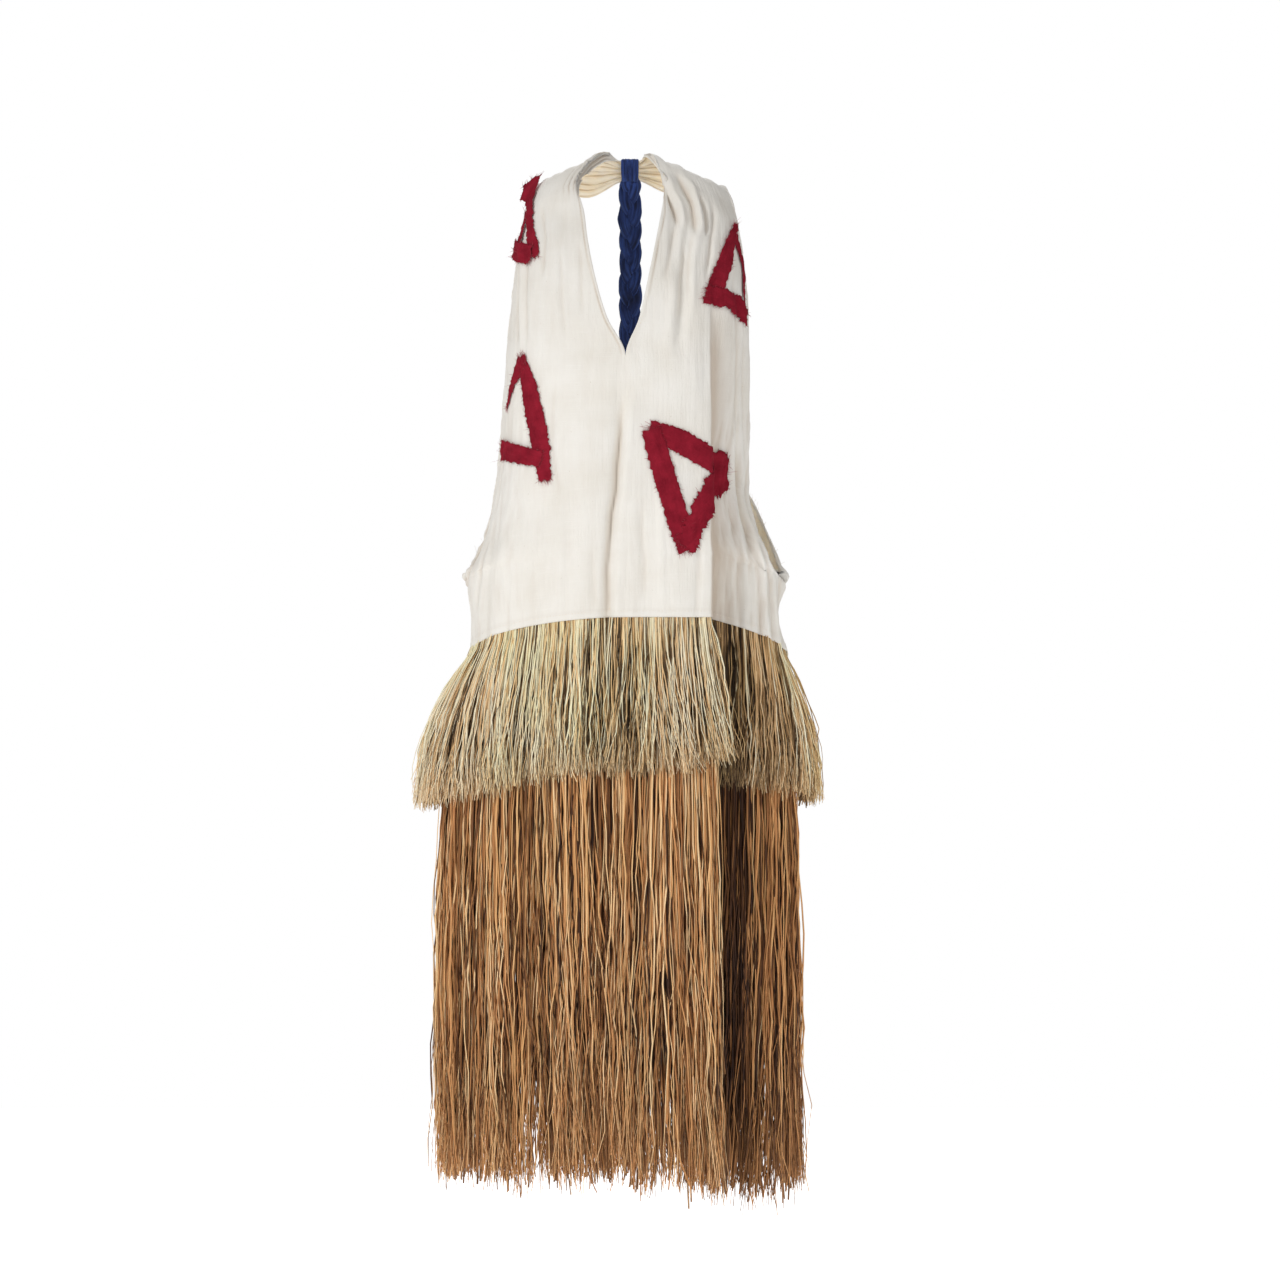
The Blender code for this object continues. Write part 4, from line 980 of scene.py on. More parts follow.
# Creases of the back: width in millimetres, depth, and (share of half width, part down)
backCreases = (
    (5.0, -1.8, ((0.05, 0.0), (0.12, 0.35), (0.16, 0.8))),
    (5.5, 1.6, ((0.00, 0.0), (0.02, 0.4), (-0.03, 0.9))),
    (4.5, -1.7, ((-0.06, 0.0), (-0.15, 0.3), (-0.20, 0.75))),
    (5.0, 1.4, ((0.12, 0.0), (0.24, 0.28), (0.34, 0.6))),
    (5.0, -1.5, ((0.20, 0.02), (0.40, 0.3), (0.52, 0.7))),
    (5.0, 1.3, ((-0.13, 0.0), (-0.28, 0.3), (-0.36, 0.65))),
    (5.0, -1.5, ((-0.22, 0.02), (-0.45, 0.34), (-0.58, 0.8))),
    (5.0, -1.3, ((0.62, 0.05), (0.72, 0.45), (0.74, 0.9))),
    (5.0, -1.2, ((-0.66, 0.08), (-0.74, 0.5), (-0.78, 0.95))),
    (6.0, 1.2, ((0.84, 0.2), (0.88, 0.9))),
    (6.0, -1.2, ((-0.88, 0.2), (-0.90, 0.9))),
)


# A share runs across the back from -1 at the left seam to 1 at the right one, and down runs
# from 0 at its top to 1 at its hem

def backTop(share):
    table = np.array(backTopRows, float)
    right = spline(table[:, 0], table[:, 1:], np.abs(share))
    middle = table[0, 1]
    wider = np.where(share < 0, -backCut["leftWider"], 1.0)
    right[:, 0] = middle + (right[:, 0] - middle) * wider
    return right


def backHem(share):
    seamY = backTopRows[-1][2]
    found = []
    for side in ("halfleft", "halfright"):
        across, backward = quarterOblong(backCut[side], backCut["hemY"] - seamY, backCut["square"])
        run = summed(np.hypot(np.diff(across), np.diff(backward)))
        run /= run[-1]
        found.append((np.interp(np.abs(share), run, across),
                      seamY + np.interp(np.abs(share), run, backward)))
    x = np.where(share < 0, -found[0][0], found[1][0])
    y = np.where(share < 0, found[0][1], found[1][1])
    sideZ = bodyRows[-1][2]
    z = backCut["hemZ"] + (sideZ - backCut["hemZ"]) * np.abs(share) ** cut["hemDrop"]
    return np.stack([x, y, z], axis=-1)


def backShare(turn):
    return turn * (1.0 - backCut["crowding"] * (1.0 - np.abs(turn)) ** 2)


def backBase(share, down):
    top, hem = backTop(share), backHem(share)
    points = top + (hem - top) * down[:, None]
    points[:, 1] += backCut["seat"] * np.sin(math.pi * down) * (1.0 - np.abs(share) ** 2)
    pulled = np.where(share < 0, *cut["pulledEdge"]["above hem"])
    corner = 0.75 * (share > 0) * fades(down, 0.0, 0.35) * np.abs(share) ** 30
    points[:, 0] -= np.sign(share) * pulled * (np.sin(math.pi * down) * np.abs(share) ** 6 + corner)
    return points


def backSurface(share, down):
    share = np.asarray(share, float)
    down = np.broadcast_to(np.asarray(down, float), share.shape)
    points = backBase(share, down)
    step = 0.004
    right = backBase(np.clip(share + step, -1, 1), down)
    left = backBase(np.clip(share - step, -1, 1), down)
    lower = backBase(share, np.clip(down + step, 0, 1))
    upper = backBase(share, np.clip(down - step, 0, 1))
    normals = unit(np.cross(right - left, lower - upper))
    turns = np.linspace(-1.0, 1.0, 401)
    crowded = np.interp(share, backShare(turns), turns)
    nearTop = (1.0 - smooth(down * 1.7)) * (1.0 - smooth((np.abs(share) - 0.35) * 3.0))
    height = backCut["gatherHeight"] * nearTop * np.cos(fullTurn * backCut["gathers"] * crowded)
    wander = 0.6 * rumple(crowded * 9, down * 4, 2.0)
    height += 1.8 * nearTop * np.cos(fullTurn * (19.0 * crowded + wander))
    for at, depth in backCut["folds"]:
        height += 1.5 * depth * bell(share, at, backCut["foldWidth"]) * smooth(down * 1.6)
    paintedShade = np.zeros(len(share))
    for width, depth, way in backCreases:
        way = np.array(way, float)
        wander = 0.006 * rumple(down * 9.0, down * 0 + width, 4.0)
        centre = np.interp(down, way[:, 1], way[:, 0]) + wander
        ends = smooth((down - way[0, 1]) / 0.08 + 0.7) * smooth((way[-1, 1] - down) / 0.12 + 0.4)
        beside = (share - centre) * backCut["half"]
        height += backCut["creaseGain"] * depth * bell(beside, 0.0, width) * ends
        # Painted shade along each crease of the back
        paintedShade -= 0.3 * depth * bell((share - centre) * 350.0, 0.0, width) * ends
    fromHem = (1.0 - down) * backCut["long"]
    height += 0.45 * fades(fromHem, cut["hemTurn"], 1.2)
    height += 0.55 * rumple(share * 34.0, down * 7.0, 21.0) \
        + 0.3 * rumple(share * 60.0, down * 13.0, 22.0)
    return points + normals * height[:, None], normals, np.clip(paintedShade, -1.0, 1.0)


def backNearHem(share, above):
    # The back this far above its hem, in millimetres
    drop = np.linalg.norm(backHem(share) - backTop(share), axis=1)
    return backSurface(share, 1.0 - above / drop)


def buildBack():
    look = backCut
    shares = backShare(np.linspace(-1.0, 1.0, look["columns"] + 1))
    downs = np.linspace(0.0, 1.0, look["rows"] + 1)
    grid, spread = np.tile(shares, len(downs)), np.repeat(downs, len(shares))
    points, _, paintedShade = backSurface(grid, spread)
    uv = np.stack([grid * 240.0 + clothAt["back"], points[:, 2]], axis=-1)
    faces = gridFaces(len(downs), len(shares), True)
    back = makePiece("cottonBack", points, faces, [cotton, cottonInside], uv)
    # The painted shade is handed to the finish as the crease numbers
    giveNumbers(back, "crease", paintedShade)
    giveWall(back, look["wall"], inner=1)
    fit(back, "cotton", "back")
    print("cotton back", len(back.data.polygons))


buildBack()


# Rolled armhole edges

# How bulky the roll is: by depth down the front, and by share of the back's half width
rollLook = {
    "wide": 5.0, "thick": 4.6, "offset": 4.2, "step": 2.1, "sides": 26, "left": 0.80, "right": 1.0,
    "inwardleft": 5.0, "inwardright": 4.0, "up": 3.0, "forward": 20.0,
    "front": ((0, 0.42), (150, 0.46), (430, 0.60), (480, 0.75), (500, 1.1), (508, 0.75),
              (520, 1.5), (545, 2.4), (575, 2.9)),
    "back": ((0, 0.45), (0.5, 0.36), (0.80, 0.34), (0.90, 0.6), (0.95, 1.7), (1, 2.8)),
}


def armholeLine(half):
    levels = np.arange(half.at("shoulder top"), half.seamTop - 1.0, rollLook["step"])
    points, normals = half.surface(half.end(levels), levels)
    shares = np.linspace(0.995, 0.045, 96) * half.sign
    found, facing, _ = backSurface(shares, 0.0)
    bulk = np.concatenate([reading(rollLook["front"], -points[:, 2]),
                           reading(rollLook["back"], np.abs(shares))])
    uneven = 1.0 + 0.16 * np.sin(np.arange(len(bulk)) / 3.1)
    bulk = 0.45 + (bulk - 0.45) * rollLook[half.side] * uneven
    return np.concatenate([points, found]), np.concatenate([normals, facing]), bulk


def buildRoll(half):
    look = rollLook
    points, normals, bulk = armholeLine(half)
    blur = np.array([1, 3, 5, 3, 1], float) / 13
    for _ in range(3):
        padded = np.concatenate([points[:1]] * 2 + [points] + [points[-1:]] * 2)
        points = sum(weight * padded[i:i + len(points)] for i, weight in enumerate(blur))
    run = summed(np.linalg.norm(np.diff(points, axis=0), axis=1))
    away = unit(np.cross(headings(points), normals)) * -half.sign
    rings, uv, paintedShades = [], [], []
    for place, out, facing, far, size in zip(points, away, normals, run, bulk):
        centre = place + out * look["offset"] * (size - 0.35) + facing * (size - 1.0) * 1.5
        bulky = float(rises(size, 1.0, 1.5))
        shift = np.array([-half.sign * look["inward" + half.side], -look["forward"], look["up"]])
        centre = centre + shift * bulky
        wander = 1.2 * float(rumple(far / 20.0, 0.0, 33.0))
        ring, flat = [], []
        for corner in range(look["sides"]):
            angle = fullTurn * corner / look["sides"] * half.sign
            twist = 1.0 - 2.0 * abs(math.sin(1.5 * angle + far / 15.0 + wander))
            swell = 1.0 + 0.22 * float(rumple(far / 11.0 + corner * 0.1, corner / 7.0, 31.0)) \
                + 0.12 * float(rumple(far / 4.0 + corner * 0.25, corner / 4.0, 32.0)) \
                - 0.15 * twist * min(size, 1.5)
            # Painted shade in the roll's twisted hollows and along its side against the cloth
            besideCloth = math.exp(-((math.cos(angle) + 1.0) / 0.35) ** 2) * min(size, 1.0)
            deep = max(3.0 * (0.96 - swell), 0.0) * min(size, 1.0)
            paintedShades.append(min(deep + 0.5 * besideCloth, 0.95))
            ring.append(centre + (out * look["wide"] * math.cos(angle)
                                  + facing * look["thick"] * math.sin(angle)) * swell * size)
            flat.append((corner * 1.1 + clothAt["roll"], far))
        rings.append(ring)
        uv.append(flat)
    roll = tube(half.side + "ArmholeRoll", rings, cotton, uv, True)
    giveNumbers(roll, "crease", paintedShades + [0.0, 0.0])
    fit(roll, "cotton", half.side + "_armhole_roll")


seamLook = {"rows": 44, "sides": 14, "wide": 3.4, "thick": 1.9, "sunk": 0.4}


def buildSeam(half):
    # The felled side seam between front and back
    look = seamLook
    rows, sides = look["rows"], look["sides"]
    levels = np.linspace(half.seamTop - 2.0, half.hem - 0.5, rows)
    ahead, normals = half.surface(half.end(levels), levels)
    behind, facing, _ = backSurface(np.full(rows, half.sign), np.linspace(0.0, 1.0, rows))
    points, normals = (ahead + behind) / 2, unit(normals + facing)
    across = unit(np.cross(headings(points), normals))
    wide = look["wide"] + np.linalg.norm(behind - ahead, axis=1) / 2
    angles = anglesRound(sides) * half.sign
    rings, uv = [], []
    for row in range(rows):
        swell = 1.0 + 0.2 * rumple(np.full(sides, row / 2.0), angles, 35.0)
        rings.append(points[row] - normals[row] * look["sunk"]
                     + across[row] * (np.cos(angles) * swell * wide[row])[:, None]
                     + normals[row] * (np.sin(angles) * swell * look["thick"])[:, None])
        uv.append(np.stack([angles * 2.0 + clothAt["seam"], np.full(sides, row * 2.4)], axis=-1))
    fit(tube(half.side + "SideSeam", rings, cotton, uv, True), "cotton")


for half in halves.values():
    buildRoll(half)
    buildSeam(half)
print("armhole rolls")


# Blue loop, braid and its end

braidLook = {
    "x": 2.5, "swing": 6.8, "weave": 3.4, "wide": 8.8, "thick": 3.9, "sides": 18, "rings": 230,
    "dwell": 0.72, "period": 92.0, "crossZ": -22.5, "topZ": -10.0, "lowZ": -326.0,
    "path": ((-340, 60.7), (-290, 56.2), (-200, 45), (-120, 30), (-60, 13), (-20, 3), (-5, 0)),
}
loopLook = {"halfWide": 11.6, "y": 8.6, "top": 15.6, "low": -11.8, "wall": 1.2,
            "around": 96, "across": 64}
wrapLook = {"z": -312.0, "halfHigh": 7.6, "halfWide": 18.8, "halfDeep": 9.8, "wall": 1.6,
            "around": 96, "across": 22}


def braidY(z):
    table = np.array(braidLook["path"], float)
    return spline(table[:, 0], table[:, 1:], np.atleast_1d(z))[:, 0]


def buildBraid():
    look = braidLook
    z = np.linspace(look["topZ"], look["lowZ"], look["rings"])
    for strand in range(3):
        turn = fullTurn * (look["crossZ"] - z) / look["period"] + fullTurn * strand / 3
        gather = smooth((look["topZ"] - z) / 16.0 + 0.35)
        swing = look["swing"] * np.sign(np.sin(turn)) * np.abs(np.sin(turn)) ** look["dwell"] * gather
        weave = look["weave"] * np.sin(2 * turn) * gather
        path = np.stack([look["x"] + swing, braidY(z) + weave, z], axis=-1)
        along = headings(path)
        across = unit(np.cross(along, np.array([0.0, -1.0, 0.0])))
        facing = unit(np.cross(across, along))
        angles = anglesRound(look["sides"])
        rings, uv = [], []
        for row in range(len(z)):
            swell = 1.0 + 0.09 * np.cos(5 * angles + strand * 2.0 + z[row] / 24.0) \
                + 0.09 * rumple(angles * 1.9, np.full(len(angles), z[row] / 9.0), 41.0 + strand)
            wide = look["wide"] * (1.0 + 0.06 * math.sin(z[row] / 13.0 + strand))
            rings.append(path[row] + (across[row] * (wide * np.cos(angles) * swell)[:, None]
                                      + facing[row] * (look["thick"] * np.sin(angles) * swell)[:, None]))
            uv.append(np.stack([angles * 6.0, np.full(len(angles), z[row])], axis=-1))
        piece = tube("braidStrand%d" % (strand + 1), rings, blueCloth, uv, False)
        fit(piece, "blue_cloth", "braid_strand_%d" % (strand + 1))


def superRing(count, halfA, highB, lowB):
    # Points round a squared oval, and their angles
    square = 2.6
    angle = anglesRound(count)
    c, s = np.cos(angle), np.sin(angle)
    a = halfA * np.sign(c) * np.abs(c) ** (2 / square)
    b = (highB + lowB) / 2 + (highB - lowB) / 2 * np.sign(s) * np.abs(s) ** (2 / square)
    return a, b, angle


def finishBand(name, look, points, uv, node):
    faces = gridFaces(look["across"], look["around"], False, True)
    band = makePiece(name, points, faces, [blueCloth], uv)
    giveWall(band, look["wall"])
    fit(band, "blue_cloth", node)


def buildLoop():
    look = loopLook
    y, z, angle = superRing(look["around"], look["y"], look["top"], look["low"])
    middle = (look["top"] + look["low"]) / 2
    points, uv = [], []
    for part in np.linspace(-1.0, 1.0, look["across"]):
        ridge = 0.55 * math.cos(part * 23.0) + 0.35 * math.cos(part * 41.0 + 1.0)
        edge = -1.1 * rises(abs(part), 0.86, 0.14)
        grow = 0.9 + ridge * (0.7 + 0.3 * np.cos(angle * 2.0)) + edge
        grow = grow + 0.5 * rumple(np.full(len(angle), part * 6.0), angle * 1.6, 51.0)
        narrow = 1.0 - 0.10 * smooth((middle - z) / 22.0)
        points += list(np.stack([braidLook["x"] + part * look["halfWide"] * narrow,
                                 y + grow * np.cos(angle), z + grow * np.sin(angle)], axis=-1))
        uv += list(np.stack([np.full(len(angle), part * look["halfWide"]), angle * 14.0], axis=-1))
    finishBand("neckLoop", look, points, uv, "neck_loop")


def buildEndWrap():
    look = wrapLook
    middle = float(braidY(look["z"])[0])
    x, y, angle = superRing(look["around"], look["halfWide"], look["halfDeep"], -look["halfDeep"])
    points, uv = [], []
    for part in np.linspace(1.0, -1.0, look["across"]):
        grow = 0.8 + 0.35 * math.cos(part * 14.0) - 0.9 * rises(abs(part), 0.7, 0.3)
        grow = grow + 0.4 * rumple(angle * 4.0, np.full(len(angle), part * 2.0), 61.0)
        points += list(np.stack([braidLook["x"] + x + grow * np.cos(angle),
                                 middle + y + grow * np.sin(angle),
                                 np.full(len(angle), look["z"] + part * look["halfHigh"])], axis=-1))
        uv += list(np.stack([angle * 16.0, np.full(len(angle), part * 7.0)], axis=-1))
    finishBand("braidEndWrap", look, points, uv, "braid_end_wrap")


buildBraid()
buildLoop()
buildEndWrap()
print("blue loop and braid")


# Torn red strips

# Patch, layer, how far the strip's ends stand off, and its middle line as (girth, height, width)
redStrips = (
    ("left_chest", 1, 0, 0, ((-183, -330, 3), (-168, -304, 11), (-148, -270, 17))),
    ("left_chest", 2, 0, 0, ((-149, -264, 15), (-135, -306, 25), (-120, -364, 28), (-109, -430, 19))),
    ("left_chest", 3, 0, 0, ((-197, -388, 26), (-160, -392, 25), (-114, -402, 21))),
    ("right_chest", 1, 0, 0, ((30, -362, 24), (70, -377, 31), (132, -410, 32))),
    ("right_chest", 2, 0, 0, ((34, -362, 26), (56, -440, 30), (86, -524, 30))),
    ("right_chest", 3, 0, 0, ((190, -420, 44), (176, -420, 60), (146, -430, 56), (128, -444, 48),
                              (106, -468, 32), (80, -520, 28))),
    ("right_shoulder", 1, 3, 0, ((156, -84, 9), (140, -130, 22), (120, -190, 28))),
    ("right_shoulder", 2, 0, 0, ((158, -98, 9), (176, -140, 9), (184, -196, 9))),
    ("right_shoulder", 3, 0, 2, ((108, -180, 24), (150, -190, 24), (190, -210, 22))),
    ("left_shoulder", 1, 3, 0, ((-158, -32, 20), (-150, -46, 22), (-141, -60, 9), (-136, -84, 11),
                                (-131, -116, 22), (-130, -130, 22))),
    ("left_shoulder", 2, 1, 3, ((-145, -66, 8), (-153, -92, 8), (-168, -118, 9))),
    ("left_shoulder", 3, 1, 6, ((-132, -126, 24), (-154, -122, 28), (-185, -112, 26))),
)
redLook = {"across": 13, "step": 1.7, "lift": 0.6, "layer": 0.55, "wall": 0.5,
           "ragged": 1.2, "narrowest": 10.4, "rooted": 0.8, "sideThreads": 2, "endThreads": 3,
           "torn": {"red_right_chest_3": 3.2, "red_left_shoulder_1": 1.9, "red_right_shoulder_3": 2.2},
           "raised": {"red_left_shoulder_1": (6.0, 11.0, 16.0)}}


def onCloth(signed, z):
    # Points of the front and their facing, carried straight on past the armhole edge
    points, normals = np.zeros((len(signed), 3)), np.zeros((len(signed), 3))
    for half in halves.values():
        pick = (signed < 0) == (half.sign < 0)
        if not pick.any():
            continue
        girth, level = np.abs(signed[pick]), half.levelAt(np.abs(signed[pick]), z[pick])
        start, end = half.start(level), half.end(level)
        inside = np.clip(girth, start, end)
        found, facing = half.surface(inside, level)
        before, _ = half.surface(np.clip(inside - 4.0, start, end), level)
        over = np.maximum(girth - end, 0.0)[:, None]
        points[pick] = found + unit(found - before) * over + np.array([0, 0, -0.012]) * over ** 2
        normals[pick] = facing
    return points, normals


frayTree = strandTree(redThread, 3, 0.7)


def buildStrip(order, row):
    patch, layer, standA, standB, way = row
    look = redLook
    rng = np.random.default_rng(seeds["strip"] + order)
    node = "red_%s_%d" % (patch, layer)
    torn = look["torn"].get(node, look["ragged"])
    way = np.array(way, float)
    steps = summed(np.linalg.norm(np.diff(way[:, :2], axis=0), axis=1))
    long = float(steps[-1])
    rows, across = int(long / look["step"]) + 1, look["across"]
    line = spline(steps, way, np.linspace(0.0, long, rows))
    part = np.repeat(np.linspace(0.0, 1.0, rows), across)
    offset = np.tile(np.linspace(-0.5, 0.5, across), rows)
    width = np.repeat(line[:, 2], across)
    middle = np.repeat(line[:, :2], across, axis=0)
    ahead = np.repeat(headings(line[:, :2]), across, axis=0)
    side = np.stack([-ahead[:, 1], ahead[:, 0]], axis=-1)
    edge = np.sign(offset) * rises(np.abs(offset), 0.3, 0.2)
    ragged = edge * torn * (rumple(part * long / 3.2, edge * 3, 70.0 + order)
                            + 0.7 * rumple(part * long / 1.6, edge * 5, 90.0 + order))
    ends = smooth((0.06 - part) / 0.06) + rises(part, 0.94, 0.06)
    slip = ends * np.sign(part - 0.5) * (1.0 + torn) * rumple(offset * 7.0, part * 0, 120.0 + order)
    bow = 1.2 * rumple(part * 2.2, part * 0, 140.0 + order) * np.sin(math.pi * part)
    spread = middle + ahead * slip[:, None] + side * (width * offset + ragged + bow)[:, None]
    points, normals = onCloth(spread[:, 0], spread[:, 1])
    crease = 0.55 * bell(offset, 0.05 * np.sin(part * 9.0), 0.06)
    ruck = 0.7 * rumple(part * long / 9.0, offset * 3.0, 160.0 + order) \
        + 0.5 * rumple(part * long / 5.0 + offset * 2.0, offset * 5.0, 170.0 + order)
    curl = 0.6 * np.abs(edge) * (0.5 + 0.5 * rumple(part * long / 12.0, edge * 3.0, 180.0 + order))
    stand = standA * (1 - part) ** 2 + standB * part ** 2
    lift = look["lift"] + look["layer"] * layer + crease + np.abs(ruck) + curl + stand
    raised = np.array(look["raised"].get(node, (0.0, 0.0, 0.0)))
    points = points + normals * lift[:, None]
    sense = np.sign(points[-1, 0] - points[-across, 0])
    points[:, 0] += (raised[0] + raised[1] * offset * sense) * (1.0 - part) ** 3
    points[:, 2] += raised[2] * (1.0 - part) ** 3
    uv = np.stack([part * long + order * 400.0, offset * width + clothAt["strip"]], axis=-1)
    faces = gridFaces(rows, across)
    grid = points.reshape(rows, across, 3)
    if np.cross(grid[1, 0] - grid[0, 0], grid[0, 1] - grid[0, 0]) @ normals[0] < 0:
        faces = [face[::-1] for face in faces]
    strip = makePiece("redStrip_%s_%d" % (patch, layer), points, faces, [redCloth], uv)
    giveWall(strip, look["wall"], 1.0)
    fit(strip, "red_cloth", node)
    # Frayed threads all round the torn edge
    facing = normals.reshape(rows, across, 3)
    rooted = look["rooted"]
    roots, reach = [], []
    for column, before in ((0, 1), (across - 1, across - 2)):
        beyond = unit(grid[:, column] - grid[:, before])
        slant = unit(np.roll(grid[:, column], 1, axis=0) - grid[:, column])
        for index in range(rows):
            for _ in range(look["sideThreads"]):
                roots.append(grid[index, column] + rng.normal(0, 0.35, 3) - beyond[index] * rooted)
                reach.append(unit(beyond[index] + slant[index] * rng.normal(0, 0.55) + facing[index, column]
                                  * rng.uniform(-0.1, 0.5)) * rng.gamma(1.8, 0.9))
    for index, before in ((0, 1), (rows - 1, rows - 2)):
        beyond = unit(grid[index] - grid[before])
        for column in range(across):
            for _ in range(look["endThreads"]):
                roots.append(grid[index, column] + rng.normal(0, 0.6, 3) - beyond[column] * rooted)
                reach.append(unit(beyond[column] + rng.normal(0, 0.4, 3)) * rng.gamma(2.2, 2.0))
    fray = growThreads("redFray_%s_%d" % (patch, layer), frayTree, rng, np.array(roots),
                       np.array(reach), np.zeros((len(roots), 3)), 0.7, (0.35, 0.65), 1.0, 1.3,
                       0.0016, 2.0, 0.0, 0.3)
    fit(fray, "red_cloth")
    long = float(np.linalg.norm(np.diff(grid, axis=0), axis=2).sum(axis=0).mean())


for order, row in enumerate(redStrips):
    buildStrip(order, row)
print("red strips")


# Raffia tiers

tierLook = {
    "upper": {"front": 194, "side": 192, "back": 190, "outleft": 78, "outfront": 33, "outright": 50,
              "outback": 40, "bend": 1.9, "spread": 34, "stations": 11, "inset": (3.4, 5.6),
              "width": (1.5, 3.0), "ragged": 0.028, "wobble": 30.0, "clump": 15.0, "pull": 0.20,
              "drift": 8.0, "tone": 0.80, "lean": 19.0, "waves": 4.8, "innerOut": 0.30,
              "foldLonger": (0.0, 22.0), "foldShade": 0.24, "gaps": ((-7, 7, 0.30), (-42, 6, 0.16))},
    "lower": {"front": 752, "side": 698, "back": 712, "outleft": 50, "outfront": 22, "outright": 20,
              "outback": 30, "bend": 5.0, "spread": 9, "stations": 18, "inset": (5.0, 8.6),
              "width": (1.9, 3.9), "ragged": 0.016, "wobble": 50.0, "clump": 30.0, "pull": 0.08,
              "drift": 9.0, "tone": 0.70, "lean": 34.0, "waves": 8.5, "innerOut": 0.42,
              "foldLonger": (6.0, 0.0), "foldShade": 0.34, "gaps": ((14, 11, 0.26),)},
}
# How much longer or shorter the locks hang, by girth from the middle. The gaps above are painted shade
# between locks: girth, width and darkness.
longerBy = {
    "upper": ((-300, 6), (-240, 20), (-160, 20), (-100, 10), (0, 10), (50, 8), (118, -10)),
    "lower": ((-300, -4), (-262, -4), (-200, -12), (-110, -10), (-30, -30), (8, -40), (22, -2), (118, 6)),
}
# uneven is the random spread of tone; depth is how much darker the locks lying deeper are painted, as
# painted shade
zones = {
    "front": {"nodes": ("left_side", "left_front", "middle_front", "right_front"),
              "upper": 1580, "lower": 1460, "wider": 1.0, "uneven": 0.37, "depth": 0.66},
    "fold": {"nodes": ("fold_front", "right_side"),
             "upper": 600, "lower": 520, "wider": 1.1, "uneven": 0.22, "depth": 0.36},
    "back": {"nodes": ("right_back", "middle_right_back", "middle_left_back", "left_back"),
             "upper": 1000, "lower": 1200, "wider": 1.3, "uneven": 0.37, "depth": 0.66, "span": 640.0},
}
rootAbove = 7.0


def hemPoints(zone, shares):
    # Hem points just above the edge, their facing, signed girth, and length of the zone
    if zone == "back":
        side = 1.0 - 2.0 * shares
        points, normals, _ = backNearHem(side, rootAbove)
        return points, normals, side * 0.0, zones[zone]["span"]
    left, right = halves["left"], halves["right"]
    hem = right.hem
    if zone == "front":
        lowest, highest = -float(left.end(hem)) + 1.0, cut["foldAt"] + 4.0
    else:
        path = float(right.foldPath(np.array(hem))[-1])
        lowest, highest = cut["foldAt"] + path - 8.0, float(right.end(hem)) - 1.0
    girth = lowest + (highest - lowest) * shares
    points, normals = np.zeros((len(girth), 3)), np.zeros((len(girth), 3))
    for half in (left, right):
        pick = (girth < 0) == (half.sign < 0)
        if pick.any():
            points[pick], normals[pick] = half.surface(np.abs(girth[pick]), hem - rootAbove)
    return points, normals, girth, highest - lowest


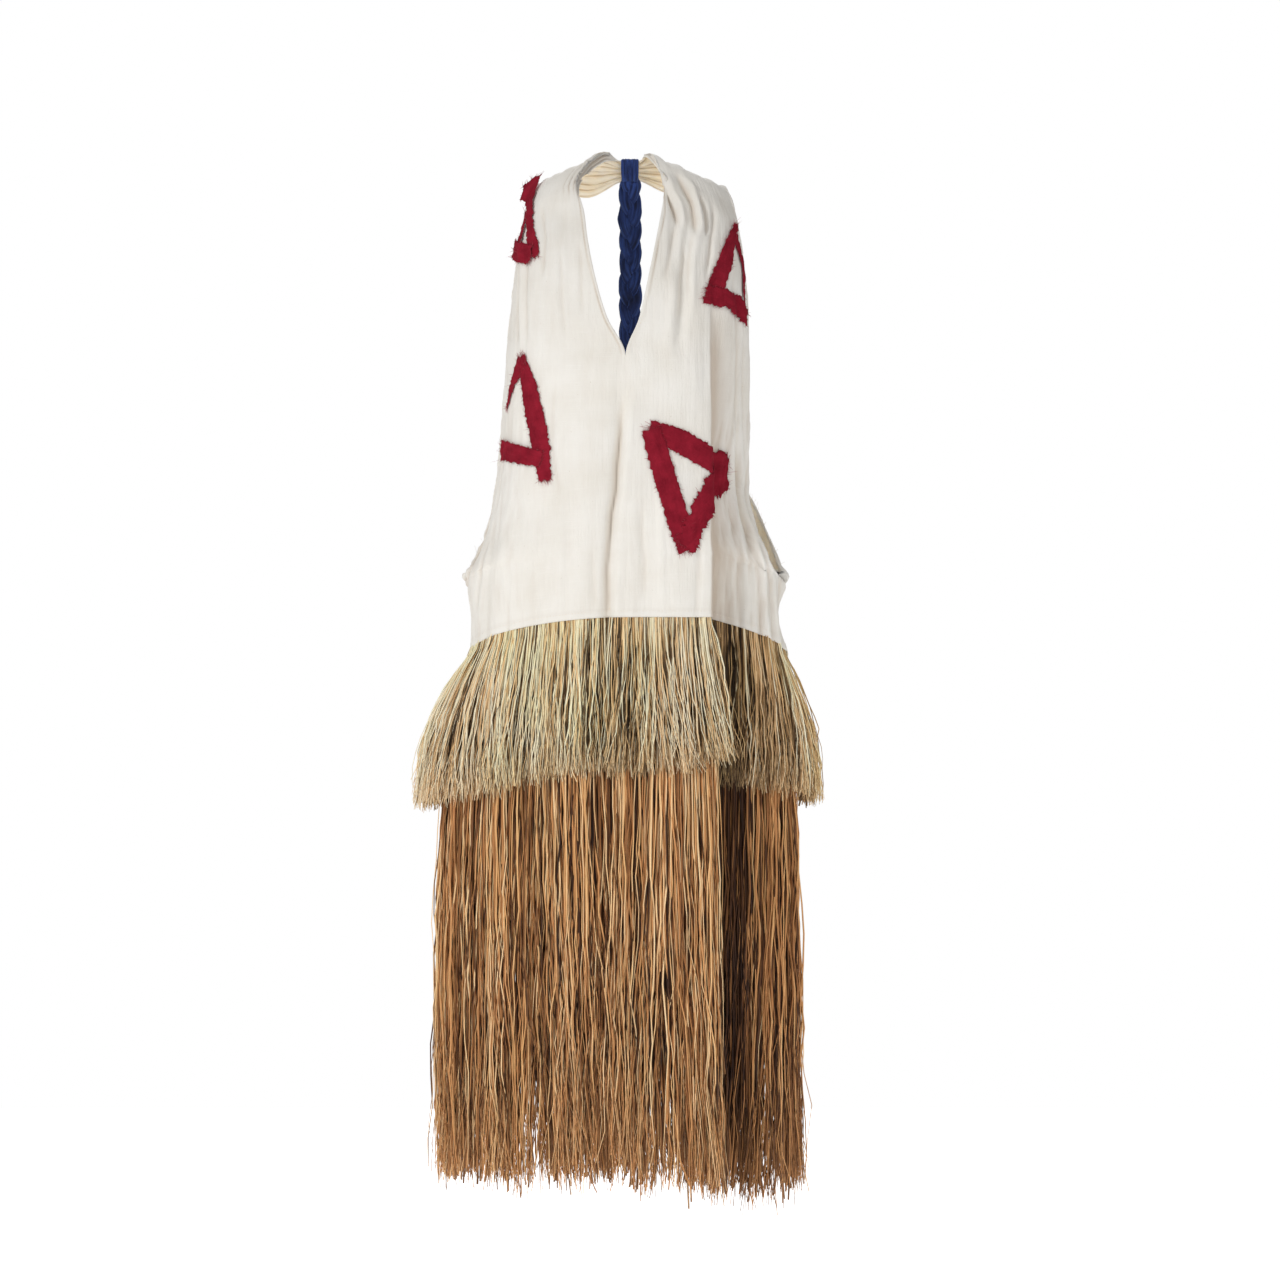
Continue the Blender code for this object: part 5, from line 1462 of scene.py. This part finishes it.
def tierRoots(tier, zone, count, seed):
    look, facts = tierLook[tier], zones[zone]
    rng = np.random.default_rng(seed)
    shares = np.clip((np.arange(count) + rng.uniform(-0.5, 1.5, count)) / count, 0.0, 1.0)
    points, normals, girth, span = hemPoints(zone, shares)
    facing = flattened(normals)
    along = aside(facing)
    layer = rng.uniform(0.0, 1.0, count)
    inset = look["inset"][0] + (look["inset"][1] - look["inset"][0]) * layer
    rise = np.stack([np.zeros(count)] * 2 + [rng.uniform(-2, 6, count)], -1)
    root = points - facing * inset[:, None] + rise
    fx, fy = facing[:, 0], facing[:, 1]
    sideOut = np.where(fx < 0, look["outleft"], look["outright"])
    faceOut = np.where(fy < 0, look["outfront"], look["outback"])
    out = sideOut * fx ** 2 + faceOut * fy ** 2
    faceLong = np.where(fy < 0, look["front"], look["back"])
    long = look["side"] * fx ** 2 + faceLong * fy ** 2
    if zone == "front":
        long = long + reading(longerBy[tier], girth)
    if zone == "fold":
        recess = fades(shares, 0.0, 0.5)
        out *= 1.0 - 0.75 * recess
        even, towardsFold = look["foldLonger"]
        long = long + (even + towardsFold * (1.0 - shares))
    out *= 1.0 - look["innerOut"] * layer
    sideways = look["spread"] * rises(points[:, 0], 10.0, 110.0) * (fy < -0.8) * (zone == "front")
    # Locks gather to clumps at their tips and lean together
    clumps = max(int(span / look["clump"]), 3)
    middles = np.sort(rng.uniform(0.0, 1.0, clumps))
    near = middles[np.argmin(np.abs(shares[:, None] - middles[None, :]), axis=1)]
    lean = rng.normal(0.0, look["lean"] * 0.5, clumps)[np.searchsorted(middles, near)]
    strength = look["pull"] * rng.uniform(0.3, 1.0, count)
    gather = (near - shares) * span * strength * (-1.0 if zone == "back" else 1.0)
    stray = rng.uniform(0, 1, count) < 0.03
    swing = lean + rng.normal(0.0, look["lean"] * 0.42, count) \
        + stray * rng.normal(0, look["lean"] * 1.1, count)
    ragged = rng.normal(0.0, look["ragged"], count)
    ragged = np.clip(ragged, -0.10, 0.05) - stray * rng.uniform(0.0, 0.25, count)
    long = long * (1.0 + ragged) + rootAbove
    neat = 1.0 - 0.6 * rises(girth, 85.0, 25.0) * (zone == "front")
    reach = facing * (out + rng.normal(0, 3.0, count))[:, None]
    sway = along * (gather + swing * neat)[:, None] + np.array([1.0, 0, 0]) * sideways[:, None]
    sway = sway + facing * rng.normal(0.0, 2.5, count)[:, None]
    fall = np.stack([np.zeros(count), np.zeros(count), -long], axis=-1)
    fall += along * (neat * rng.normal(0.0, look["drift"], count))[:, None]
    # Tone differs at random by clump and by lock, and locks lying deeper in the tier are darker, as painted
    # shade
    clumpTone = rng.uniform(-0.16, 0.16, clumps)[np.searchsorted(middles, near)]
    tone = look["tone"] + 0.6 * clumpTone + rng.normal(0, facts["uneven"], count) \
        - facts["depth"] * rises(layer, 0.30, 0.35)
    # Painted light: upper locks are lighter towards the left side, and a little towards the right
    if tier == "upper":
        tone += 0.15 * smooth((-60.0 - points[:, 0]) / 70.0) + 0.05 * rises(points[:, 0], 60.0, 40.0)
    if zone == "fold":
        tone -= look["foldShade"] + 0.36 * fades(shares, 0.16, 0.22)
    # Painted shade in the gaps between locks
    if zone == "front":
        tone -= sum(shade * bell(girth, middle, width) for middle, width, shade in look["gaps"])
    tone = np.clip(tone, 0.0, 1.0)
    return {
        "root": root, "reach": reach, "fall": fall, "sway": sway,
        "width": rng.uniform(*look["width"], count) * (1.0 + 1.4 * (layer > 0.78)) * facts["wider"],
        "delay": (rootAbove + 4.0) / long,
        "bend": np.full(count, look["bend"]) * rng.uniform(0.8, 1.2, count),
        "phase": rng.uniform(0, 1, count), "tone": tone,
    }


def buildTier(tier, material):
    look = tierLook[tier]
    tree = strandTree(material, look["stations"], 0.5)
    for number, (zone, facts) in enumerate(zones.items(), 1):
        roots = tierRoots(tier, zone, facts[tier], seeds[tier] + number)
        name = "raffia%s%s" % (tier.title(), zone.title())
        piece = growStrands(name, tree, roots, look["wobble"] * mm, look["waves"], 3.0, 0.35)
        fit(piece, "pale_raffia" if tier == "upper" else "golden_raffia",
            *["raffia_%s_%s" % (tier, node) for node in facts["nodes"]])
        print("raffia", tier, zone, len(piece.data.polygons))


buildTier("upper", paleRaffia)
buildTier("lower", goldRaffia)


# Stitches, loose threads and tape

threadTree = strandTree(cottonThread, 4, 0.7)


def buildThreads(name, roots, ways, width, waver):
    rng = np.random.default_rng(seeds["threads"])
    piece = growThreads(name, threadTree, rng, roots, np.zeros((len(roots), 3)), ways, waver,
                        (0.8, 1.2), width, 1.0, waver * mm, 2.0, 0.0, 0.8)
    fit(piece, "cotton")
    print(name, len(roots))


stitchLook = {"step": 4.4, "long": 2.5, "proud": 0.3, "wide": 0.7, "gap": 12.0,
              "fromHem": 8.8, "fromNeck": 4.4}


def stitchLine(points, normals):
    # One stitch to a point, with none across a gap
    ahead = np.roll(points, -1, axis=0) - points
    keep = np.linalg.norm(ahead, axis=1) < stitchLook["gap"]
    keep[-1] = False
    ahead = unit(ahead)
    roots = points + normals * stitchLook["proud"] - ahead * 1.2
    return roots[keep], (ahead * stitchLook["long"])[keep]


def buildStitches():
    look = stitchLook
    lines = []
    for half in halves.values():
        first, last = float(half.start(half.hem)) + 2.0, float(half.end(half.hem)) - 2.0
        girth = np.arange(first, last, look["step"])
        lines.append(half.surface(girth, half.hem - look["fromHem"]))
        levels = np.arange(half.at("behind neck") + 8.0, half.tip - 4.0, look["step"])
        lines.append(half.surface(half.start(levels) + look["fromNeck"], levels))
    lines.append(backNearHem(np.linspace(-0.985, 0.985, 146), look["fromHem"])[:2])
    roots, ways = zip(*(stitchLine(points, normals) for points, normals in lines))
    buildThreads("hemStitches", np.concatenate(roots), np.concatenate(ways), look["wide"], 0.05)


def buildLooseThreads():
    # The raw edge at the top of the back, frayed beside its roll
    rng, count = np.random.default_rng(seeds["looseThreads"]), 620
    side = rng.uniform(0.10, 0.97, count) * rng.choice([-1.0, 1.0], count)
    points, normals, _ = backSurface(side, 0.0)
    lower = backSurface(side, 0.02)[0]
    ways = points - lower + rng.normal(0, 1.6, (count, 3)) \
        - normals * rng.uniform(0, 2.0, count)[:, None]
    ways = unit(ways) * rng.gamma(3.0, 1.7, count)[:, None]
    buildThreads("backEdgeThreads", points - normals * 1.0, ways, 0.55, 1.2)


tapeLook = {"top": 9.0, "foot": -6.0, "rows": 6, "columns": 150, "wall": 1.2}


def buildTape(zone):
    look = tapeLook
    points, normals, _, _ = hemPoints(zone, np.linspace(0.0, 1.0, look["columns"]))
    facing = flattened(normals)
    rows, uv = [], []
    for row, rise in enumerate(np.linspace(look["top"], look["foot"], look["rows"])):
        inset = 8.8 - 0.5 * math.cos(rise / 3.0)
        rows.append(points - facing * inset + np.array([0.0, 0.0, rise]))
        uv += [(column * 3.0 + clothAt["tape"], row * 3.0) for column in range(look["columns"])]
    faces = gridFaces(look["rows"], look["columns"])
    tape = makePiece("fringeTape" + zone.title(), np.concatenate(rows), faces, [cottonInside], uv)
    giveWall(tape, look["wall"])
    fit(tape, "cotton")


buildStitches()
buildLooseThreads()
for zone in zones:
    buildTape(zone)
print("stitches, threads and tape")


# Stage, light and camera

def buildStage():
    reach, depth = 2.6, -1.56
    corners = [(x * reach / mm, y * reach / mm, depth / mm)
               for x, y in ((-1, -1), (1, -1), (1, 1), (-1, 1))]
    finish = Finish("studioFloor", 0.95)
    finish.put("Base Color", (0.60, 0.60, 0.60, 1.0))
    finish.put("Emission Color", (1.0, 1.0, 1.0, 1.0))
    finish.put("Emission Strength", 0.80)
    makePiece("studioFloor", corners, [(0, 1, 2, 3)], [finish.material], flat=True)


def areaLight(name, place, aim, size, power):
    light = bpy.data.lights.new(name, "AREA")
    light.shape, light.size, light.energy = "SQUARE", size, power
    lamp = bpy.data.objects.new(name, light)
    bpy.context.scene.collection.objects.link(lamp)
    lamp.location = place
    towards = np.array(aim, float) - np.array(place, float)
    lamp.rotation_euler = Vector(towards).to_track_quat("-Z", "Y").to_euler()


buildStage()
areaLight("keyLight", (-3.4, -3.6, 1.9), (0, 0, -0.6), 1.5, 112.0)
areaLight("fillLight", (2.2, -5.0, -0.1), (0.05, 0, -0.6), 2.0, 54.0)
areaLight("backLight", (0.0, 4.0, 1.6), (0, 0, -0.5), 2.4, 125.0)

world = bpy.data.worlds.new("studio")
bpy.context.scene.world = world
world.use_nodes = True
sky = Board(world.node_tree)
seen = sky.node("ShaderNodeLightPath", output="Is Camera Ray")
shine = world.node_tree.nodes["Background"].inputs
sky.feed(shine["Color"], (1.0, 1.0, 1.0, 1.0))
sky.feed(shine["Strength"], seen * 0.61 + 0.39)
bpy.context.scene.view_settings.view_transform = "Standard"

view = bpy.data.cameras.new("photoCamera")
view.lens, view.sensor_width, view.clip_end = 125.0, 36.0, 200.0
camera = bpy.data.objects.new("photoCamera", view)
bpy.context.scene.collection.objects.link(camera)
camera.location = (0.0162, -6.1, -0.6423)
camera.rotation_euler = (math.pi / 2, 0.0, 0.0)
bpy.context.scene.camera = camera
print("stage and camera")

triangles = [sum(len(face.vertices) - 2 for face in piece.data.polygons)
             for piece in bpy.context.scene.objects if piece.type == "MESH" and not piece.hide_render]
print("triangles", sum(triangles), "most", max(triangles))
